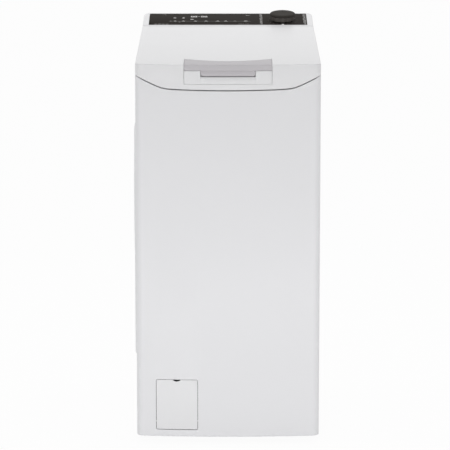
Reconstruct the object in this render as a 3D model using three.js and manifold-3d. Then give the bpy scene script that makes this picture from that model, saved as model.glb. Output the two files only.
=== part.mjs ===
// A 40 cm top-loading washing machine with a horizontal drum, built as an assembly of separate pieces.
//
// Millimetres, +Z up, front towards -Y, +X to the right seen from the front. The origin is on the floor,
// under the centre of the machine's bounding box. Sizes are written once, here, and the pieces take their
// places from each other through them.
import * as THREE from "three";
import { mergeVertices } from "three/addons/utils/BufferGeometryUtils.js";
import Module from "manifold-3d";

const wasm = await Module();
wasm.setup();

const DEGREE = Math.PI / 180;

// ---------------------------------------------------------------- driving sizes

// Clearances
const GRID = 1024; // points per mm
const FIT = 0.3; // between two pieces that seat on each other
const RUNNING = 0.5; // around a shaft or pin that turns
const SEAM = 3; // the dark gap between the lid and the cabinet

// Cabinet
const BODY_WIDTH = 395; // over the flat of the side panels
const DEPTH = 600; // from the front bow to the fittings at the back
const FLOOR_GAP = 16; // under the cabinet
const SHEET = 1.2; // painted steel
const FLANGE = 14;
const BOW_RADIUS = 1700; // the front's curve in plan
const CORNER_RADIUS = 16;
const SIDE_START = 38; // from the front face to the side panels
const BACK_RECESS = 12; // from the fittings to the side panels' back edge
const BULGE = 5; // how far the left side swells over the belt drive
const FIELD_RISE = 2.7; // the raised field of the left side
const FIELD_FRONT = 44; // from the front face to that field
const FIELD_BOTTOM = 193;
const FIELD_TOP = 705;
const FIELD_BACK = 14; // from the side panel's back edge
const FIELD_RADIUS = 20;
const FIELD_EDGE = 5; // width of the field's sloping edge
const SWELL_HEIGHT = 514; // centre of the round swelling on the field
const SWELL_HALF_DEPTH = 226;
const SWELL_HALF_HEIGHT = 180;
const SWELL_RADIUS = 130;
const SWELL_EDGE = 22;
const RECESS_DEPTH = 2.5; // the pressed field of the right side
const RECESS_MARGIN = 72;
const GRIP_HEIGHT = 700; // hand holes in the rear panel

// Lid and the line where it meets the cabinet
const LID_SLOPE = 5.2 * DEGREE;
const FOLD_HEIGHT = 824; // the lid's front edge
const LID_WALL = 3;
const SIDE_SKIRT = 26; // the lid's height at its sides
const SEAM_LOW = 769.3; // the seam at the middle of the front
const SEAM_BOW = 1.6e-4; // its shallow curve, per mm
const SEAM_KINK = 140; // where it turns up, from the middle
const SEAM_RISE = 0.43; // its slope beyond that
const SEAM_BLEND = 10; // how softly it turns
const HINGE_BACK = 129; // hinge line, from the fittings at the back
const HINGE_Y = DEPTH / 2 - HINGE_BACK;
const HINGE_DROP = 11.5; // hinge line below the lid's top
const LID_NOSE = 14.2; // round back end of the lid
const HINGE_PIN = 3;
const HINGE_EAR_IN = 47.5; // the top frame's ear that holds the pin, from the cabinet's side
const HINGE_EAR = 8;
const KNUCKLE = 8; // width of the lid's part on the pin
const LINER_DROP = 20; // underside of the lid's liner below the lid's top
const LINER_WALL = 2.4;
const LINER_FRONT = 74; // from the front face
const LINER_BACK = HINGE_Y - 21;
const DISPENSER_HALF = 104;
const DISPENSER_FRONT = -98;
const DISPENSER_BACK = 40;
const DISPENSER_DROP = 58; // its underside below the lid's top
const DISPENSER_WALL = 2;
const DISPENSER_POCKETS = 4;

// Handle
const HANDLE_HALF = 93.5;
const HANDLE_PROUD = 0.8;
const HANDLE_WALL = 4;
const BAR_BOTTOM = 811;
const BEZEL_BOTTOM = 782.5;
const HANDLE_BACK_MIDDLE = 41; // from the front face to the bar's back edge
const HANDLE_BACK_END = 63;
const HANDLE_GAP = 1.3; // around the lever
const PIVOT_BACK = 56; // lever pivot, from the front face
const PIVOT_DROP = 7; // and below the lid's top
const LEVER_PIN = 2;
const POCKET_HALF = 58.5;
const POCKET_LIP = 790.7; // front edge of the pocket's floor
const POCKET_RISE = 2;
const POCKET_DEPTH = 15;
const TAB_BOTTOM = 799;
const TONGUE_LENGTH = 46; // the lever's latch tongue, below its pivot
const TONGUE_HALF = 8;
const TONGUE_THICKNESS = 4;
const TONGUE_NOSE = 3;
const LEVER_EAR = 4; // the lid's ears that carry the lever's pins

// Top frame
const DECK_DROP = 35; // deck below the lid's top
const DECK_WALL = 3;
const LEDGE_HEIGHT = 765;
const LEDGE_BACK = 32; // from the front face to the riser
const THROAT_RADIUS = 32;
const THROAT_BOTTOM = 785;
const SPRAY_X = 40; // the water nozzle behind the opening
const SPRAY_HEIGHT = 800;
const HOSE_RADIUS = 9;
const HOSE_BORE = 6.5;

// Console
const CONSOLE_START = 16; // behind the hinge line
const CONSOLE_FRONT = HINGE_Y + CONSOLE_START;
const PANEL_SLOPE = 10.6 * DEGREE;
const CONSOLE_WALL = 3;
const CONSOLE_TOP_WALL = 4.5;
const CONSOLE_BACK_GAP = 3; // from the console to the fittings
const CONSOLE_RADIUS = 14;
const FASCIA_SIDE = 14; // from the fascia's end to the cabinet's side
const FASCIA_START = 4.8; // along the panel from its front edge
const FASCIA_DEPTH = 99;
const FASCIA_THICKNESS = 2;
const KNOB_X = 127;
const KNOB_ALONG = 44.4;
const KNOB_BASE_RADIUS = 23.5;
const KNOB_TOP_RADIUS = 29;
const KNOB_HEIGHT = 16;
const KNOB_SHAFT = 4;
const BOARD_DROP = 21;

// Tub, drum and what hangs on them
const AXIS_HEIGHT = 455;
const TUB_ROOM = 48; // from the tub's round to the cabinet's front and back
const TUB_RADIUS = DEPTH / 2 - TUB_ROOM;
const TUB_WALL = 4;
const TUB_SIDE_ROOM = 37.5; // from the tub's end to the cabinet's side
const TUB_HALF = BODY_WIDTH / 2 - TUB_SIDE_ROOM;
const TUB_FLANGE = 10;
const COLLAR_TOP = 742;
const COLLAR_WALL = 3;
const DRUM_ROOM = 24; // from the drum's round to the tub's
const DRUM_RADIUS = TUB_RADIUS - DRUM_ROOM;
const DRUM_SIDE_ROOM = 22; // from the drum's end to the tub's
const DRUM_HALF = TUB_HALF - DRUM_SIDE_ROOM;
const DRUM_WALL = 1;
const DRUM_END = 1.5;
const FLAP_ANGLE = 24 * DEGREE;
const FLAP_SIDE_ROOM = 24; // from the flaps' end to the drum's
const FLAP_HALF = DRUM_HALF - FLAP_SIDE_ROOM;
const FLAP_GAP = 2.2; // lets one flap swing in past the other
const FLAP_SIDE_GAP = 0.7;
const FLAP_LIP = 3; // the folded edges along the meeting line
const FLAP_LIP_DEPTH = 9;
const FLAP_PIN = 1.8;
const FLAP_BARREL = 3.2; // the rolled edge on the pin
const FLAP_KNUCKLE = 7;
const CATCH_HALF = 20;
const CATCH_BACK = 26; // from the flaps' meeting line
const CATCH_TRAVEL = 6;
const CATCH_NOSE = 3;
const CATCH_NOSE_HALF = 8;
const CATCH_SWING = 2; // room for the nose when it swings in
const MOUTH_STEP = 8; // each opening is this much larger than the one below it
const COLLAR_X = FLAP_HALF + MOUTH_STEP; // half sizes of the tub's mouth
const COLLAR_Y = 112;
const THROAT_X = COLLAR_X + MOUTH_STEP; // half sizes of the loading opening
const THROAT_Y = 118;
const LIFTER_HEIGHT = 42;
const LIFTER_HALF_WIDTH = 27;
const LIFTER_ANGLE = 104 * DEGREE;
const SHAFT_RADIUS = 12.5;
const BEARING_RADIUS = 26;
const BEARING_WIDTH = 14;
const HUB_RADIUS = 50; // the shafts' flanges on the drum
const HUB_THICKNESS = 6;
const BOSS_RADIUS = 36;
const BOSS_OUT = 5; // the bearing boss beyond the tub's end
const PULLEY_RADIUS = 140;
const PULLEY_WIDTH = 16;
const MOTOR_Y = 150;
const MOTOR_HEIGHT = 120;
const MOTOR_RADIUS = 58;
const MOTOR_SHORT = 24; // the motor is this much shorter than the tub's half
const MOTOR_LENGTH = TUB_HALF - MOTOR_SHORT;
const MOTOR_PULLEY_RADIUS = 11;
const BELT_WIDTH = 12;
const BELT_THICKNESS = 2.5;
const BELT_GAP = 0.8;
const MOTOR_SHAFT = 6;
const MOTOR_BOSS = 20;
const ROTOR_RADIUS = 38;
const BRACKET_WALL = 4;
const WEIGHT_ROOM = 24; // from the counterweights to the cabinet's front and back
const WEIGHT_REACH = DEPTH / 2 - WEIGHT_ROOM;
const WEIGHT_HALF = 130;
const WEIGHT_HALF_HEIGHT = 150;
const HEATER_TUBE = 3.2;
const HEATER_HALF_WIDTH = 24;
const HEATER_DEPTH = 238; // below the drum's axis
const HEATER_REACH = 120;

// Suspension
const SPRING_SIDE = 21.5; // from the springs' line to the cabinet's side
const SPRING_X = BODY_WIDTH / 2 - SPRING_SIDE;
const SPRING_Y = 150;
const SPRING_COIL = 9; // mean radius
const SPRING_WIRE = 1.6;
const SPRING_TURNS = 7;
const RAIL_HEIGHT = 760;
const RAIL_WALL = 2;
const RAIL_EDGE = 4; // of the rail beyond the spring
const RAIL_OVER = 26; // the rail's length past the springs
const RAIL_LIP = 12;
const LUG_UP = 145; // the tub's lugs above the axis
const LUG_HEIGHT = AXIS_HEIGHT + LUG_UP;
const LUG_WALL = 6;
const DAMPER_PIN = 4;
const DAMPER_PIN_LOW = 36;
const DAMPER_BORE = 11;
const DAMPER_LENGTH = 84; // of the cylinder
const DAMPER_X = 92;
const DAMPER_Y = 150;
const DAMPER_RADIUS = 14;
const DAMPER_ROD = 5;
const DAMPER_TOP = 178;

// Base, feet and drain
const TRAY_FLOOR = 2.5;
const TRAY_WALL = 2.5;
const TRAY_HEIGHT = 28;
const FOOT_RADIUS = 18;
const FOOT_STUD = 5;
const FOOT_X = 150;
const FOOT_FRONT = 96; // from the front face
const FOOT_BACK = 60; // from the fittings
const FOOT_PAD = 10; // height of the rubber pad
const FOOT_BOSS_TOP = 36;
const FOOT_STUD_TOP = 44;
const DOOR_LEFT = -155.8;
const DOOR_RIGHT = -65;
const DOOR_BOTTOM = 31.7;
const DOOR_TOP = 142.3;
const DOOR_RADIUS = 4;
const DOOR_GAP = 0.9;
const DOOR_THICKNESS = 2.5;
const DOOR_PIN = 1.5;
const DOOR_POST = 4;
const DOOR_CHEEK = 2.5;
const DOOR_HINGE_BACK = 14; // hinge line behind the front face
const DOOR_HINGE_UP = 16; // and above the door's bottom edge
const DOOR_LOW_GAP = 1.3; // under the door, where it swings in
const NOTCH_RADIUS = 14;
const NOTCH_DEPTH = 3.6;
const PUMP_X = -110.4;
const PUMP_HEIGHT = 87;
const PUMP_RADIUS = 34;
const PUMP_MOUTH = 34; // from the front face
const PUMP_LENGTH = 116;
const PUMP_WALL = 3.5;
const PUMP_CHAMBER = 34; // length of the impeller's chamber
const PUMP_MOTOR_RADIUS = 26;
const PUMP_MOTOR_LENGTH = 50;
const CAP_THICKNESS = 9;
const CAP_GRIP = 8;
const SPOUT_RADIUS = 17;
const SPOUT_WALL = 3;
const SPOUT_Y = -205; // the pump's inlet
const SUMP_Y = -140; // the tub's outlet
const SUMP_DROP = 239; // the outlet's rim below the axis
const SUMP_HEIGHT = AXIS_HEIGHT - SUMP_DROP;
const DRAIN_RADIUS = 9;
const VALVE_X = 120;
const VALVE_HEIGHT = 790;
const VALVE_THREAD = 12;
const OUTLET_X = -150;
const OUTLET_HEIGHT = 74;
const GLAND_X = 150;
const GLAND_HEIGHT = 120;
const GLAND_RADIUS = 11;
const GLAND_BORE = 4;

// ---------------------------------------------------------------- places worked out from those sizes

const halfBody = BODY_WIDTH / 2;
const earX = halfBody - HINGE_EAR_IN;
const fasciaHalf = halfBody - FASCIA_SIDE;
const front = -DEPTH / 2 + HANDLE_PROUD;
const fittingsBack = DEPTH / 2;
const consoleBack = fittingsBack - CONSOLE_BACK_GAP;
const sideStart = front + SIDE_START;
const sideBack = fittingsBack - BACK_RECESS;
const rearPanelFace = sideBack - SHEET - FIT; // outer face of the rear panel
const rearPanelInside = rearPanelFace - SHEET;
const sideInside = halfBody - SHEET;
const trayBottom = FLOOR_GAP + SHEET + FIT;
const trayFloorTop = trayBottom + TRAY_FLOOR;
const trayTop = trayBottom + TRAY_HEIGHT + FIT;
const lidTop = (y) => FOLD_HEIGHT + Math.tan(LID_SLOPE) * (y - front);
const sideSeam = (y) => lidTop(y) - SIDE_SKIRT;
const deckTop = (y) => lidTop(y) - DECK_DROP;
const deckBottom = (y) => deckTop(y) - DECK_WALL;
const hingeZ = lidTop(HINGE_Y) - HINGE_DROP;
const leverY = front + PIVOT_BACK;
const leverZ = lidTop(leverY) - PIVOT_DROP;
const tubFace = TUB_HALF + BOSS_OUT;
const pulleyFace = -(tubFace + 4);
const pulleyEnd = pulleyFace - PULLEY_WIDTH;
const motorRight = -12;
const motorLeft = motorRight - MOTOR_LENGTH;
const motorZ = MOTOR_HEIGHT - AXIS_HEIGHT; // from the drum's axis
const pumpFront = front + PUMP_MOUTH;
const pumpBack = pumpFront + PUMP_LENGTH;
const doorHingeY = front + DOOR_HINGE_BACK;
const doorHingeZ = DOOR_BOTTOM + DOOR_LOW_GAP + DOOR_HINGE_UP;
const doorSwingLow = doorHingeZ - DOOR_HINGE_UP - DOOR_HINGE_BACK / 2; // lowest reach of the door's edge
const doorLugLeft = DOOR_LEFT - DOOR_POST / 2 - 1;
const doorLugRight = DOOR_RIGHT + DOOR_POST / 2 + 1;
const damperPlaces = [-DAMPER_Y, DAMPER_Y];
const footPlaces = [
  [-FOOT_X, front + FOOT_FRONT],
  [FOOT_X, front + FOOT_FRONT],
  [-FOOT_X, fittingsBack - FOOT_BACK],
  [FOOT_X, fittingsBack - FOOT_BACK],
];
const boardPosts = [
  [-150, FASCIA_START + 20],
  [70, FASCIA_START + 20],
  [-150, FASCIA_START + FASCIA_DEPTH - 14],
  [70, FASCIA_START + FASCIA_DEPTH - 14],
];

// The seam between lid and front panel, seen from the front: nearly level, then turning up to the corners.
function seamAt(x) {
  const past = Math.abs(x) - SEAM_KINK;
  const turn = (Math.sqrt(past * past + SEAM_BLEND * SEAM_BLEND) + past) / 2;
  return SEAM_LOW + SEAM_BOW * x * x + SEAM_RISE * turn;
}

// ---------------------------------------------------------------- solids

// A closed three.js geometry as a manifold-3d solid, with its points on a fine grid so that faces
// meant to be level with each other are exactly level.
function solid(geometry) {
  const bare = geometry.index ? geometry.toNonIndexed() : geometry.clone();
  bare.deleteAttribute("normal");
  bare.deleteAttribute("uv");
  const values = bare.attributes.position.array;
  values.forEach((value, i) => {
    values[i] = Math.round(value * GRID) / GRID;
  });
  const merged = mergeVertices(bare, 1e-4);
  return new wasm.Manifold(
    new wasm.Mesh({
      numProp: 3,
      vertProperties: merged.attributes.position.array,
      triVerts: new Uint32Array(merged.index.array),
    }),
  );
}

// The solid's triangles as a three.js geometry again.
function geometryOf(body) {
  const mesh = body.getMesh();
  const geometry = new THREE.BufferGeometry();
  geometry.setAttribute("position", new THREE.BufferAttribute(mesh.vertProperties, 3));
  geometry.setIndex(new THREE.BufferAttribute(mesh.triVerts, 1));
  geometry.computeVertexNormals();
  return geometry;
}

const join = (first, ...others) => others.reduce((all, next) => all.add(next), first);
const cut = (body, ...tools) => tools.reduce((left, tool) => left.subtract(tool), body);

// Bases that carry an extrusion's own x, y and z onto the model's axes.
const ALONG_X = new THREE.Matrix4().set(0, 0, 1, 0, 1, 0, 0, 0, 0, 1, 0, 0, 0, 0, 0, 1);
const ALONG_Y = new THREE.Matrix4().set(1, 0, 0, 0, 0, 0, -1, 0, 0, 1, 0, 0, 0, 0, 0, 1);

function extrude(points, depth) {
  const shape = new THREE.Shape(points.map(([a, b]) => new THREE.Vector2(a, b)));
  return new THREE.ExtrudeGeometry(shape, { depth, bevelEnabled: false, curveSegments: 12 });
}

// A prism along X from points in Y and Z, along Y from points in X and Z, or along Z from X and Y.
const prismX = (points, from, to) =>
  solid(extrude(points, to - from).applyMatrix4(ALONG_X).translate(from, 0, 0));
const prismY = (points, from, to) =>
  solid(extrude(points, to - from).applyMatrix4(ALONG_Y).translate(0, to, 0));
const prismZ = (points, from, to) => solid(extrude(points, to - from).translate(0, 0, from));

function box(x0, x1, y0, y1, z0, z1) {
  const geometry = new THREE.BoxGeometry(x1 - x0, y1 - y0, z1 - z0);
  return solid(geometry.translate((x0 + x1) / 2, (y0 + y1) / 2, (z0 + z1) / 2));
}

// Cylinders and cones along each axis: radius at the low end, radius at the high end.
function cone(lowRadius, highRadius, from, to, segments) {
  const geometry = new THREE.CylinderGeometry(highRadius, lowRadius, to - from, segments);
  return geometry.translate(0, (from + to) / 2, 0);
}
const rodX = (y, z, radius, from, to, segments = 20) =>
  solid(cone(radius, radius, from, to, segments).rotateZ(-Math.PI / 2).translate(0, y, z));
const rodY = (x, z, radius, from, to, segments = 20) =>
  solid(cone(radius, radius, from, to, segments).translate(x, 0, z));
const rodZ = (x, y, radius, from, to, segments = 20) =>
  solid(cone(radius, radius, from, to, segments).rotateX(Math.PI / 2).translate(x, y, 0));

// A rectangle with round corners, anticlockwise, given by its half sizes about a centre.
function roundedRectangle(halfA, halfB, radius, centreA = 0, centreB = 0, steps = 3) {
  const points = [];
  [[1, 1], [-1, 1], [-1, -1], [1, -1]].forEach(([sideA, sideB], corner) => {
    for (let i = 0; i <= steps; i++) {
      const angle = (corner + i / steps) * (Math.PI / 2);
      const a = centreA + sideA * (halfA - radius) + radius * Math.cos(angle);
      const b = centreB + sideB * (halfB - radius) + radius * Math.sin(angle);
      points.push([a, b]);
    }
  });
  return points;
}

// A round section swept along a curve.
function sweep(path, radius, steps, sides) {
  const section = new THREE.Shape();
  for (let i = 0; i < sides; i++) {
    const angle = (i / sides) * 2 * Math.PI;
    const at = [radius * Math.cos(angle), radius * Math.sin(angle)];
    if (i) section.lineTo(...at);
    else section.moveTo(...at);
  }
  return new THREE.ExtrudeGeometry(section, { steps, extrudePath: path });
}

// A tube along a smooth curve through points.
function tubeAlong(points, radius, steps, sides = 8) {
  const path = new THREE.CatmullRomCurve3(points.map((p) => new THREE.Vector3(...p)));
  return solid(sweep(path, radius, steps, sides));
}

// ---------------------------------------------------------------- outlines

// The machine's front in plan, inset by a wall: a bow of large radius with round corners.
function frontOutline(inset, bowSteps = 8, cornerSteps = 3) {
  const corner = CORNER_RADIUS - inset;
  const bow = BOW_RADIUS - inset;
  const cornerX = halfBody - CORNER_RADIUS;
  const reach = BOW_RADIUS - CORNER_RADIUS;
  const bowCentre = front + BOW_RADIUS;
  const cornerY = bowCentre - Math.sqrt(reach * reach - cornerX * cornerX);
  const meet = Math.atan2(cornerY - bowCentre, cornerX);
  const right = [];
  for (let i = 1; i <= cornerSteps; i++) {
    const angle = meet * (1 - i / cornerSteps);
    right.push([cornerX + corner * Math.cos(angle), cornerY + corner * Math.sin(angle)]);
  }
  const middle = [];
  for (let i = 0; i <= bowSteps; i++) {
    const angle = -Math.PI - meet + ((2 * meet + Math.PI) * i) / bowSteps;
    middle.push([bow * Math.cos(angle), bowCentre + bow * Math.sin(angle)]);
  }
  const left = right.map(([x, y]) => [-x, y]).reverse();
  return [...left, ...middle, ...right];
}

// That front, closed by straight sides and a straight back.
function planOutline(inset, back) {
  const half = halfBody - inset;
  return [[-half, back], ...frontOutline(inset), [half, back]];
}

// The bow alone, at a depth behind the front's surface.
function bowAt(x, depth = 0) {
  const radius = BOW_RADIUS - depth;
  return front + BOW_RADIUS - Math.sqrt(radius * radius - x * x);
}

// A band of the bow in plan, between two depths.
function bowBand(near, far, half, steps = 12) {
  const points = [];
  for (let i = 0; i <= steps; i++) {
    const x = half * ((2 * i) / steps - 1);
    points.push([x, bowAt(x, near)]);
  }
  for (let i = steps; i >= 0; i--) {
    const x = half * ((2 * i) / steps - 1);
    points.push([x, bowAt(x, far)]);
  }
  return points;
}

const FAR = 600; // beyond the machine on every side
const SKY = 1000; // a level above the machine
const UNDER = 600; // a level below the lid, the deck and the console

// Everything between two heights measured from the lid's sloping top.
function slab(low, high, from = -FAR, to = FAR) {
  const edge = (y, offset) => [y, lidTop(y) + offset];
  return prismX([edge(from, low), edge(to, low), edge(to, high), edge(from, high)], -FAR, FAR);
}

const SEAM_STEPS = 24;

// Everything above the seam line, with the given distance to it: along the front, then along the sides.
function aboveSeam(offset) {
  const points = [];
  for (let i = 0; i <= SEAM_STEPS; i++) {
    const x = halfBody * ((2 * i) / SEAM_STEPS - 1);
    points.push([x, seamAt(x) + offset]);
  }
  const top = SKY;
  const edge = [[-FAR, points[0][1]], ...points, [FAR, points[SEAM_STEPS][1]], [FAR, top], [-FAR, top]];
  const along = [
    [sideStart, sideSeam(sideStart) + offset],
    [FAR, sideSeam(FAR) + offset],
    [FAR, top],
    [sideStart, top],
  ];
  return join(prismY(edge, -FAR, sideStart), prismX(along, -FAR, FAR));
}

// ---------------------------------------------------------------- materials

const finish = (color, roughness, metalness = 0) =>
  new THREE.MeshStandardMaterial({ color, roughness, metalness });

const WHITE_STEEL = finish(0xe6e6e8, 0.35);
const WHITE_PLASTIC = finish(0xe4e4e5, 0.4);
const HANDLE_GREY = finish(0xbcb9bb, 0.45);
const FASCIA_BLACK = finish(0x3a3633, 0.25);
const KNOB_BLACK = finish(0x46423f, 0.4);
const ZINC = finish(0xb4b6b8, 0.4, 0.8);
const STAINLESS = finish(0xc4c5c7, 0.3, 0.9);
const TUB_PLASTIC = finish(0xb9bcbf, 0.6);
const RUBBER_GREY = finish(0x8d9092, 0.8);
const RUBBER_BLACK = finish(0x232323, 0.85);
const CONCRETE = finish(0x8f8c86, 0.95);
const MOTOR_STEEL = finish(0x5b5f63, 0.5, 0.6);
const BOARD_GREEN = finish(0x2d5a3a, 0.6);
const DARK_PLASTIC = finish(0x3c3f42, 0.6);
const DISPENSER_BLUE = finish(0xc9d3dc, 0.4);

// ---------------------------------------------------------------- assembly

const machine = new THREE.Group();
machine.position.x = BULGE / 2; // the left side's swelling takes the body off the centre of the whole

// Adds one named piece to a group. Its place is in the mesh's position.
function piece(group, name, body, material, position = [0, 0, 0]) {
  const mesh = new THREE.Mesh(geometryOf(body), material);
  mesh.name = name;
  mesh.position.set(...position);
  group.add(mesh);
}

function subgroup(parent, position = [0, 0, 0]) {
  const group = new THREE.Group();
  group.position.set(...position);
  parent.add(group);
  return group;
}

// ---------------------------------------------------------------- cabinet

function frontPanel() {
  const outer = frontOutline(0);
  const inner = frontOutline(SHEET).reverse();
  const end = sideStart - FIT;
  const wrap = [
    [-halfBody, end],
    ...outer,
    [halfBody, end],
    [sideInside, end],
    ...inner,
    [-sideInside, end],
  ];
  const sheet = prismZ(wrap, FLOOR_GAP, FOLD_HEIGHT);
  const lip = cut(
    prismZ(planOutline(0, end), FLOOR_GAP, FLOOR_GAP + SHEET),
    prismZ(planOutline(FLANGE, end + 1), FLOOR_GAP - 1, FLOOR_GAP + SHEET + 1),
  );
  const port = prismY(doorOutline(0), front - 5, front + 30);
  return cut(join(sheet, lip), port, aboveSeam(-SEAM / 2));
}

// The filter door's outline, grown by the given distance.
function doorOutline(grow) {
  const halfA = (DOOR_RIGHT - DOOR_LEFT) / 2 + grow;
  const halfB = (DOOR_TOP - DOOR_BOTTOM) / 2 + grow;
  const centreA = (DOOR_RIGHT + DOOR_LEFT) / 2;
  const centreB = (DOOR_TOP + DOOR_BOTTOM) / 2;
  return roundedRectangle(halfA, halfB, DOOR_RADIUS, centreA, centreB, 3);
}

// A pressed field about the x axis: a plateau with sloping edges that stands out from the plane x = 0.
function pressedField(halfDepth, halfHeight, radius, rise, edge) {
  const outline = roundedRectangle(halfDepth, halfHeight, radius, 0, 0, 4);
  const shape = new THREE.Shape(outline.map(([a, b]) => new THREE.Vector2(a, b)));
  const geometry = new THREE.ExtrudeGeometry(shape, {
    depth: 1,
    bevelThickness: rise,
    bevelSize: edge,
    bevelOffset: -edge,
    bevelSegments: 1,
  });
  return geometry.applyMatrix4(ALONG_X).translate(-1, 0, 0);
}

const fieldStart = front + FIELD_FRONT;
const fieldEnd = sideBack - FIELD_BACK;
const fieldMiddle = (fieldStart + fieldEnd) / 2;

// The two values in order, on the side given by -1 or 1.
const between = (side, a, b) => [Math.min(side * a, side * b), Math.max(side * a, side * b)];

// The flat sheet of one side with its flanges and its spring rail. side is -1 or 1.
function sideSheet(side) {
  const topOf = (y) => sideSeam(y) - SEAM / 2;
  const edge = halfBody - FLANGE;
  const section = [
    [edge, sideStart],
    [halfBody, sideStart],
    [halfBody, sideBack],
    [edge, sideBack],
    [edge, sideBack - SHEET],
    [sideInside, sideBack - SHEET],
    [sideInside, sideStart + SHEET],
    [edge, sideStart + SHEET],
  ].map(([x, y]) => [side * x, y]);
  const high = topOf(sideBack) + 2;
  const above = [
    [sideStart - 1, topOf(sideStart - 1)],
    [sideBack + 1, topOf(sideBack + 1)],
    [sideBack + 1, high + 1],
    [sideStart - 1, high + 1],
  ];
  const flangeX = between(side, edge - 1, sideInside);
  const aboveTray = trayBottom + TRAY_HEIGHT + FIT;
  const belowLedge = LEDGE_HEIGHT - DECK_DROP;
  const belowDeck = deckBottom(sideBack) - FIT;
  const folded = cut(
    prismZ(section, FLOOR_GAP, high),
    prismX(above, ...between(side, edge - 1, halfBody + 1)),
    box(...flangeX, sideStart - 1, sideStart + SHEET + 1, FLOOR_GAP - 1, aboveTray),
    box(...flangeX, sideStart - 1, sideStart + SHEET + 1, belowLedge, high),
    box(...flangeX, sideBack - SHEET - 1, sideBack + 1, belowDeck, high),
  );
  const footX = between(side, edge, sideInside + SHEET / 2);
  const foot = box(...footX, sideStart + SHEET / 2, sideBack - SHEET / 2, FLOOR_GAP, FLOOR_GAP + SHEET);
  return join(folded, foot, springRail(side));
}

// The angle that the springs hang from.
function springRail(side) {
  const inner = SPRING_X - SPRING_COIL - RAIL_EDGE;
  const end = SPRING_Y + RAIL_OVER;
  const top = RAIL_HEIGHT + RAIL_WALL;
  const shelf = box(...between(side, inner, sideInside + SHEET / 2), -end, end, RAIL_HEIGHT, top);
  const upstand = box(...between(side, inner, inner + RAIL_WALL), -end, end, RAIL_HEIGHT, top + RAIL_LIP);
  return join(shelf, upstand);
}

function leftPanel() {
  const middle = (FIELD_TOP + FIELD_BOTTOM) / 2;
  const pressing = (inset) => {
    const field = pressedField(
      (fieldEnd - fieldStart) / 2, (FIELD_TOP - FIELD_BOTTOM) / 2, FIELD_RADIUS, FIELD_RISE, FIELD_EDGE,
    );
    const swell = pressedField(
      SWELL_HALF_DEPTH, SWELL_HALF_HEIGHT, SWELL_RADIUS, BULGE - FIELD_RISE, SWELL_EDGE,
    );
    const face = inset - halfBody;
    return join(
      solid(field.rotateZ(Math.PI).translate(face, fieldMiddle, middle)),
      solid(swell.rotateZ(Math.PI).translate(face - FIELD_RISE, fieldMiddle, SWELL_HEIGHT)),
    );
  };
  return cut(join(sideSheet(-1), pressing(0)), pressing(SHEET));
}

function rightPanel() {
  const low = FLOOR_GAP + RECESS_MARGIN;
  const high = sideSeam(sideStart) - RECESS_MARGIN;
  const pressing = (inset) => {
    const field = pressedField(
      (fieldEnd - fieldStart) / 2, (high - low) / 2, FIELD_RADIUS, RECESS_DEPTH, FIELD_EDGE,
    );
    const face = halfBody - inset;
    return solid(field.rotateZ(Math.PI).translate(face, fieldMiddle, (high + low) / 2));
  };
  return cut(join(sideSheet(1), pressing(SHEET)), pressing(0));
}

function rearPanel() {
  const half = halfBody - SHEET - FIT;
  const inside = rearPanelInside - FLANGE;
  const top = deckBottom(inside) - FIT;
  const sheet = box(-half, half, rearPanelInside, rearPanelFace, trayTop, top);
  const rimTop = box(-half + FLANGE, half - FLANGE, inside, rearPanelFace, top - SHEET, top);
  const rimBottom = box(-half + FLANGE, half - FLANGE, inside, rearPanelFace, trayTop, trayTop + SHEET);
  const grip = (x) => box(x - 45, x + 45, inside, rearPanelFace + 1, GRIP_HEIGHT - 12, GRIP_HEIGHT + 12);
  return cut(
    join(sheet, rimTop, rimBottom),
    rodY(VALVE_X, VALVE_HEIGHT, VALVE_THREAD + FIT, inside, fittingsBack),
    rodY(OUTLET_X, OUTLET_HEIGHT, DRAIN_RADIUS + FIT, inside, fittingsBack),
    rodY(GLAND_X, GLAND_HEIGHT, GLAND_RADIUS + FIT, inside, fittingsBack),
    grip(-60),
    grip(60),
  );
}

function baseTray() {
  const inset = SHEET + FIT;
  const outline = (more) => planOutline(inset + more, rearPanelFace - more);
  const shell = cut(
    prismZ(outline(0), trayBottom, trayTop - FIT),
    prismZ(outline(TRAY_WALL), trayFloorTop, trayTop + 1),
    box(doorLugLeft - DOOR_POST, doorLugRight + DOOR_POST, -FAR, doorHingeY, doorSwingLow, FAR),
  );
  const bosses = footPlaces.map(([x, y]) => rodZ(x, y, FOOT_STUD + 6, trayFloorTop - 1, FOOT_BOSS_TOP, 12));
  const studs = footPlaces.map(([x, y]) => rodZ(x, y, FOOT_STUD + RUNNING, 0, FOOT_BOSS_TOP + 1, 12));
  const posts = [doorLugLeft, doorLugRight].map((x) => doorPost(x));
  const cradles = [pumpFront + 14, pumpBack - 20].map((y) => pumpCradle(y));
  const ears = damperPlaces.map((y) => damperEar(y));
  return cut(join(shell, ...bosses, ...posts, ...cradles, ...ears), ...studs);
}

// A post beside the filter door with the hole for its hinge pin. x is the post's middle.
function doorPost(x) {
  const half = DOOR_POST / 2;
  const reach = DOOR_PIN + 2;
  const post = box(x - half, x + half, doorHingeY - reach, doorHingeY + reach, trayFloorTop - 1, doorHingeZ);
  const head = rodX(doorHingeY, doorHingeZ, reach, x - half, x + half);
  return cut(join(post, head), rodX(doorHingeY, doorHingeZ, DOOR_PIN + RUNNING, x - half - 1, x + half + 1));
}

function pumpCradle(y) {
  const web = box(PUMP_X - 26, PUMP_X + 26, y, y + 4, trayFloorTop - 1, PUMP_HEIGHT - 12);
  return cut(web, rodY(PUMP_X, PUMP_HEIGHT, PUMP_RADIUS + FIT, y - 1, y + 5, 28));
}

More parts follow.
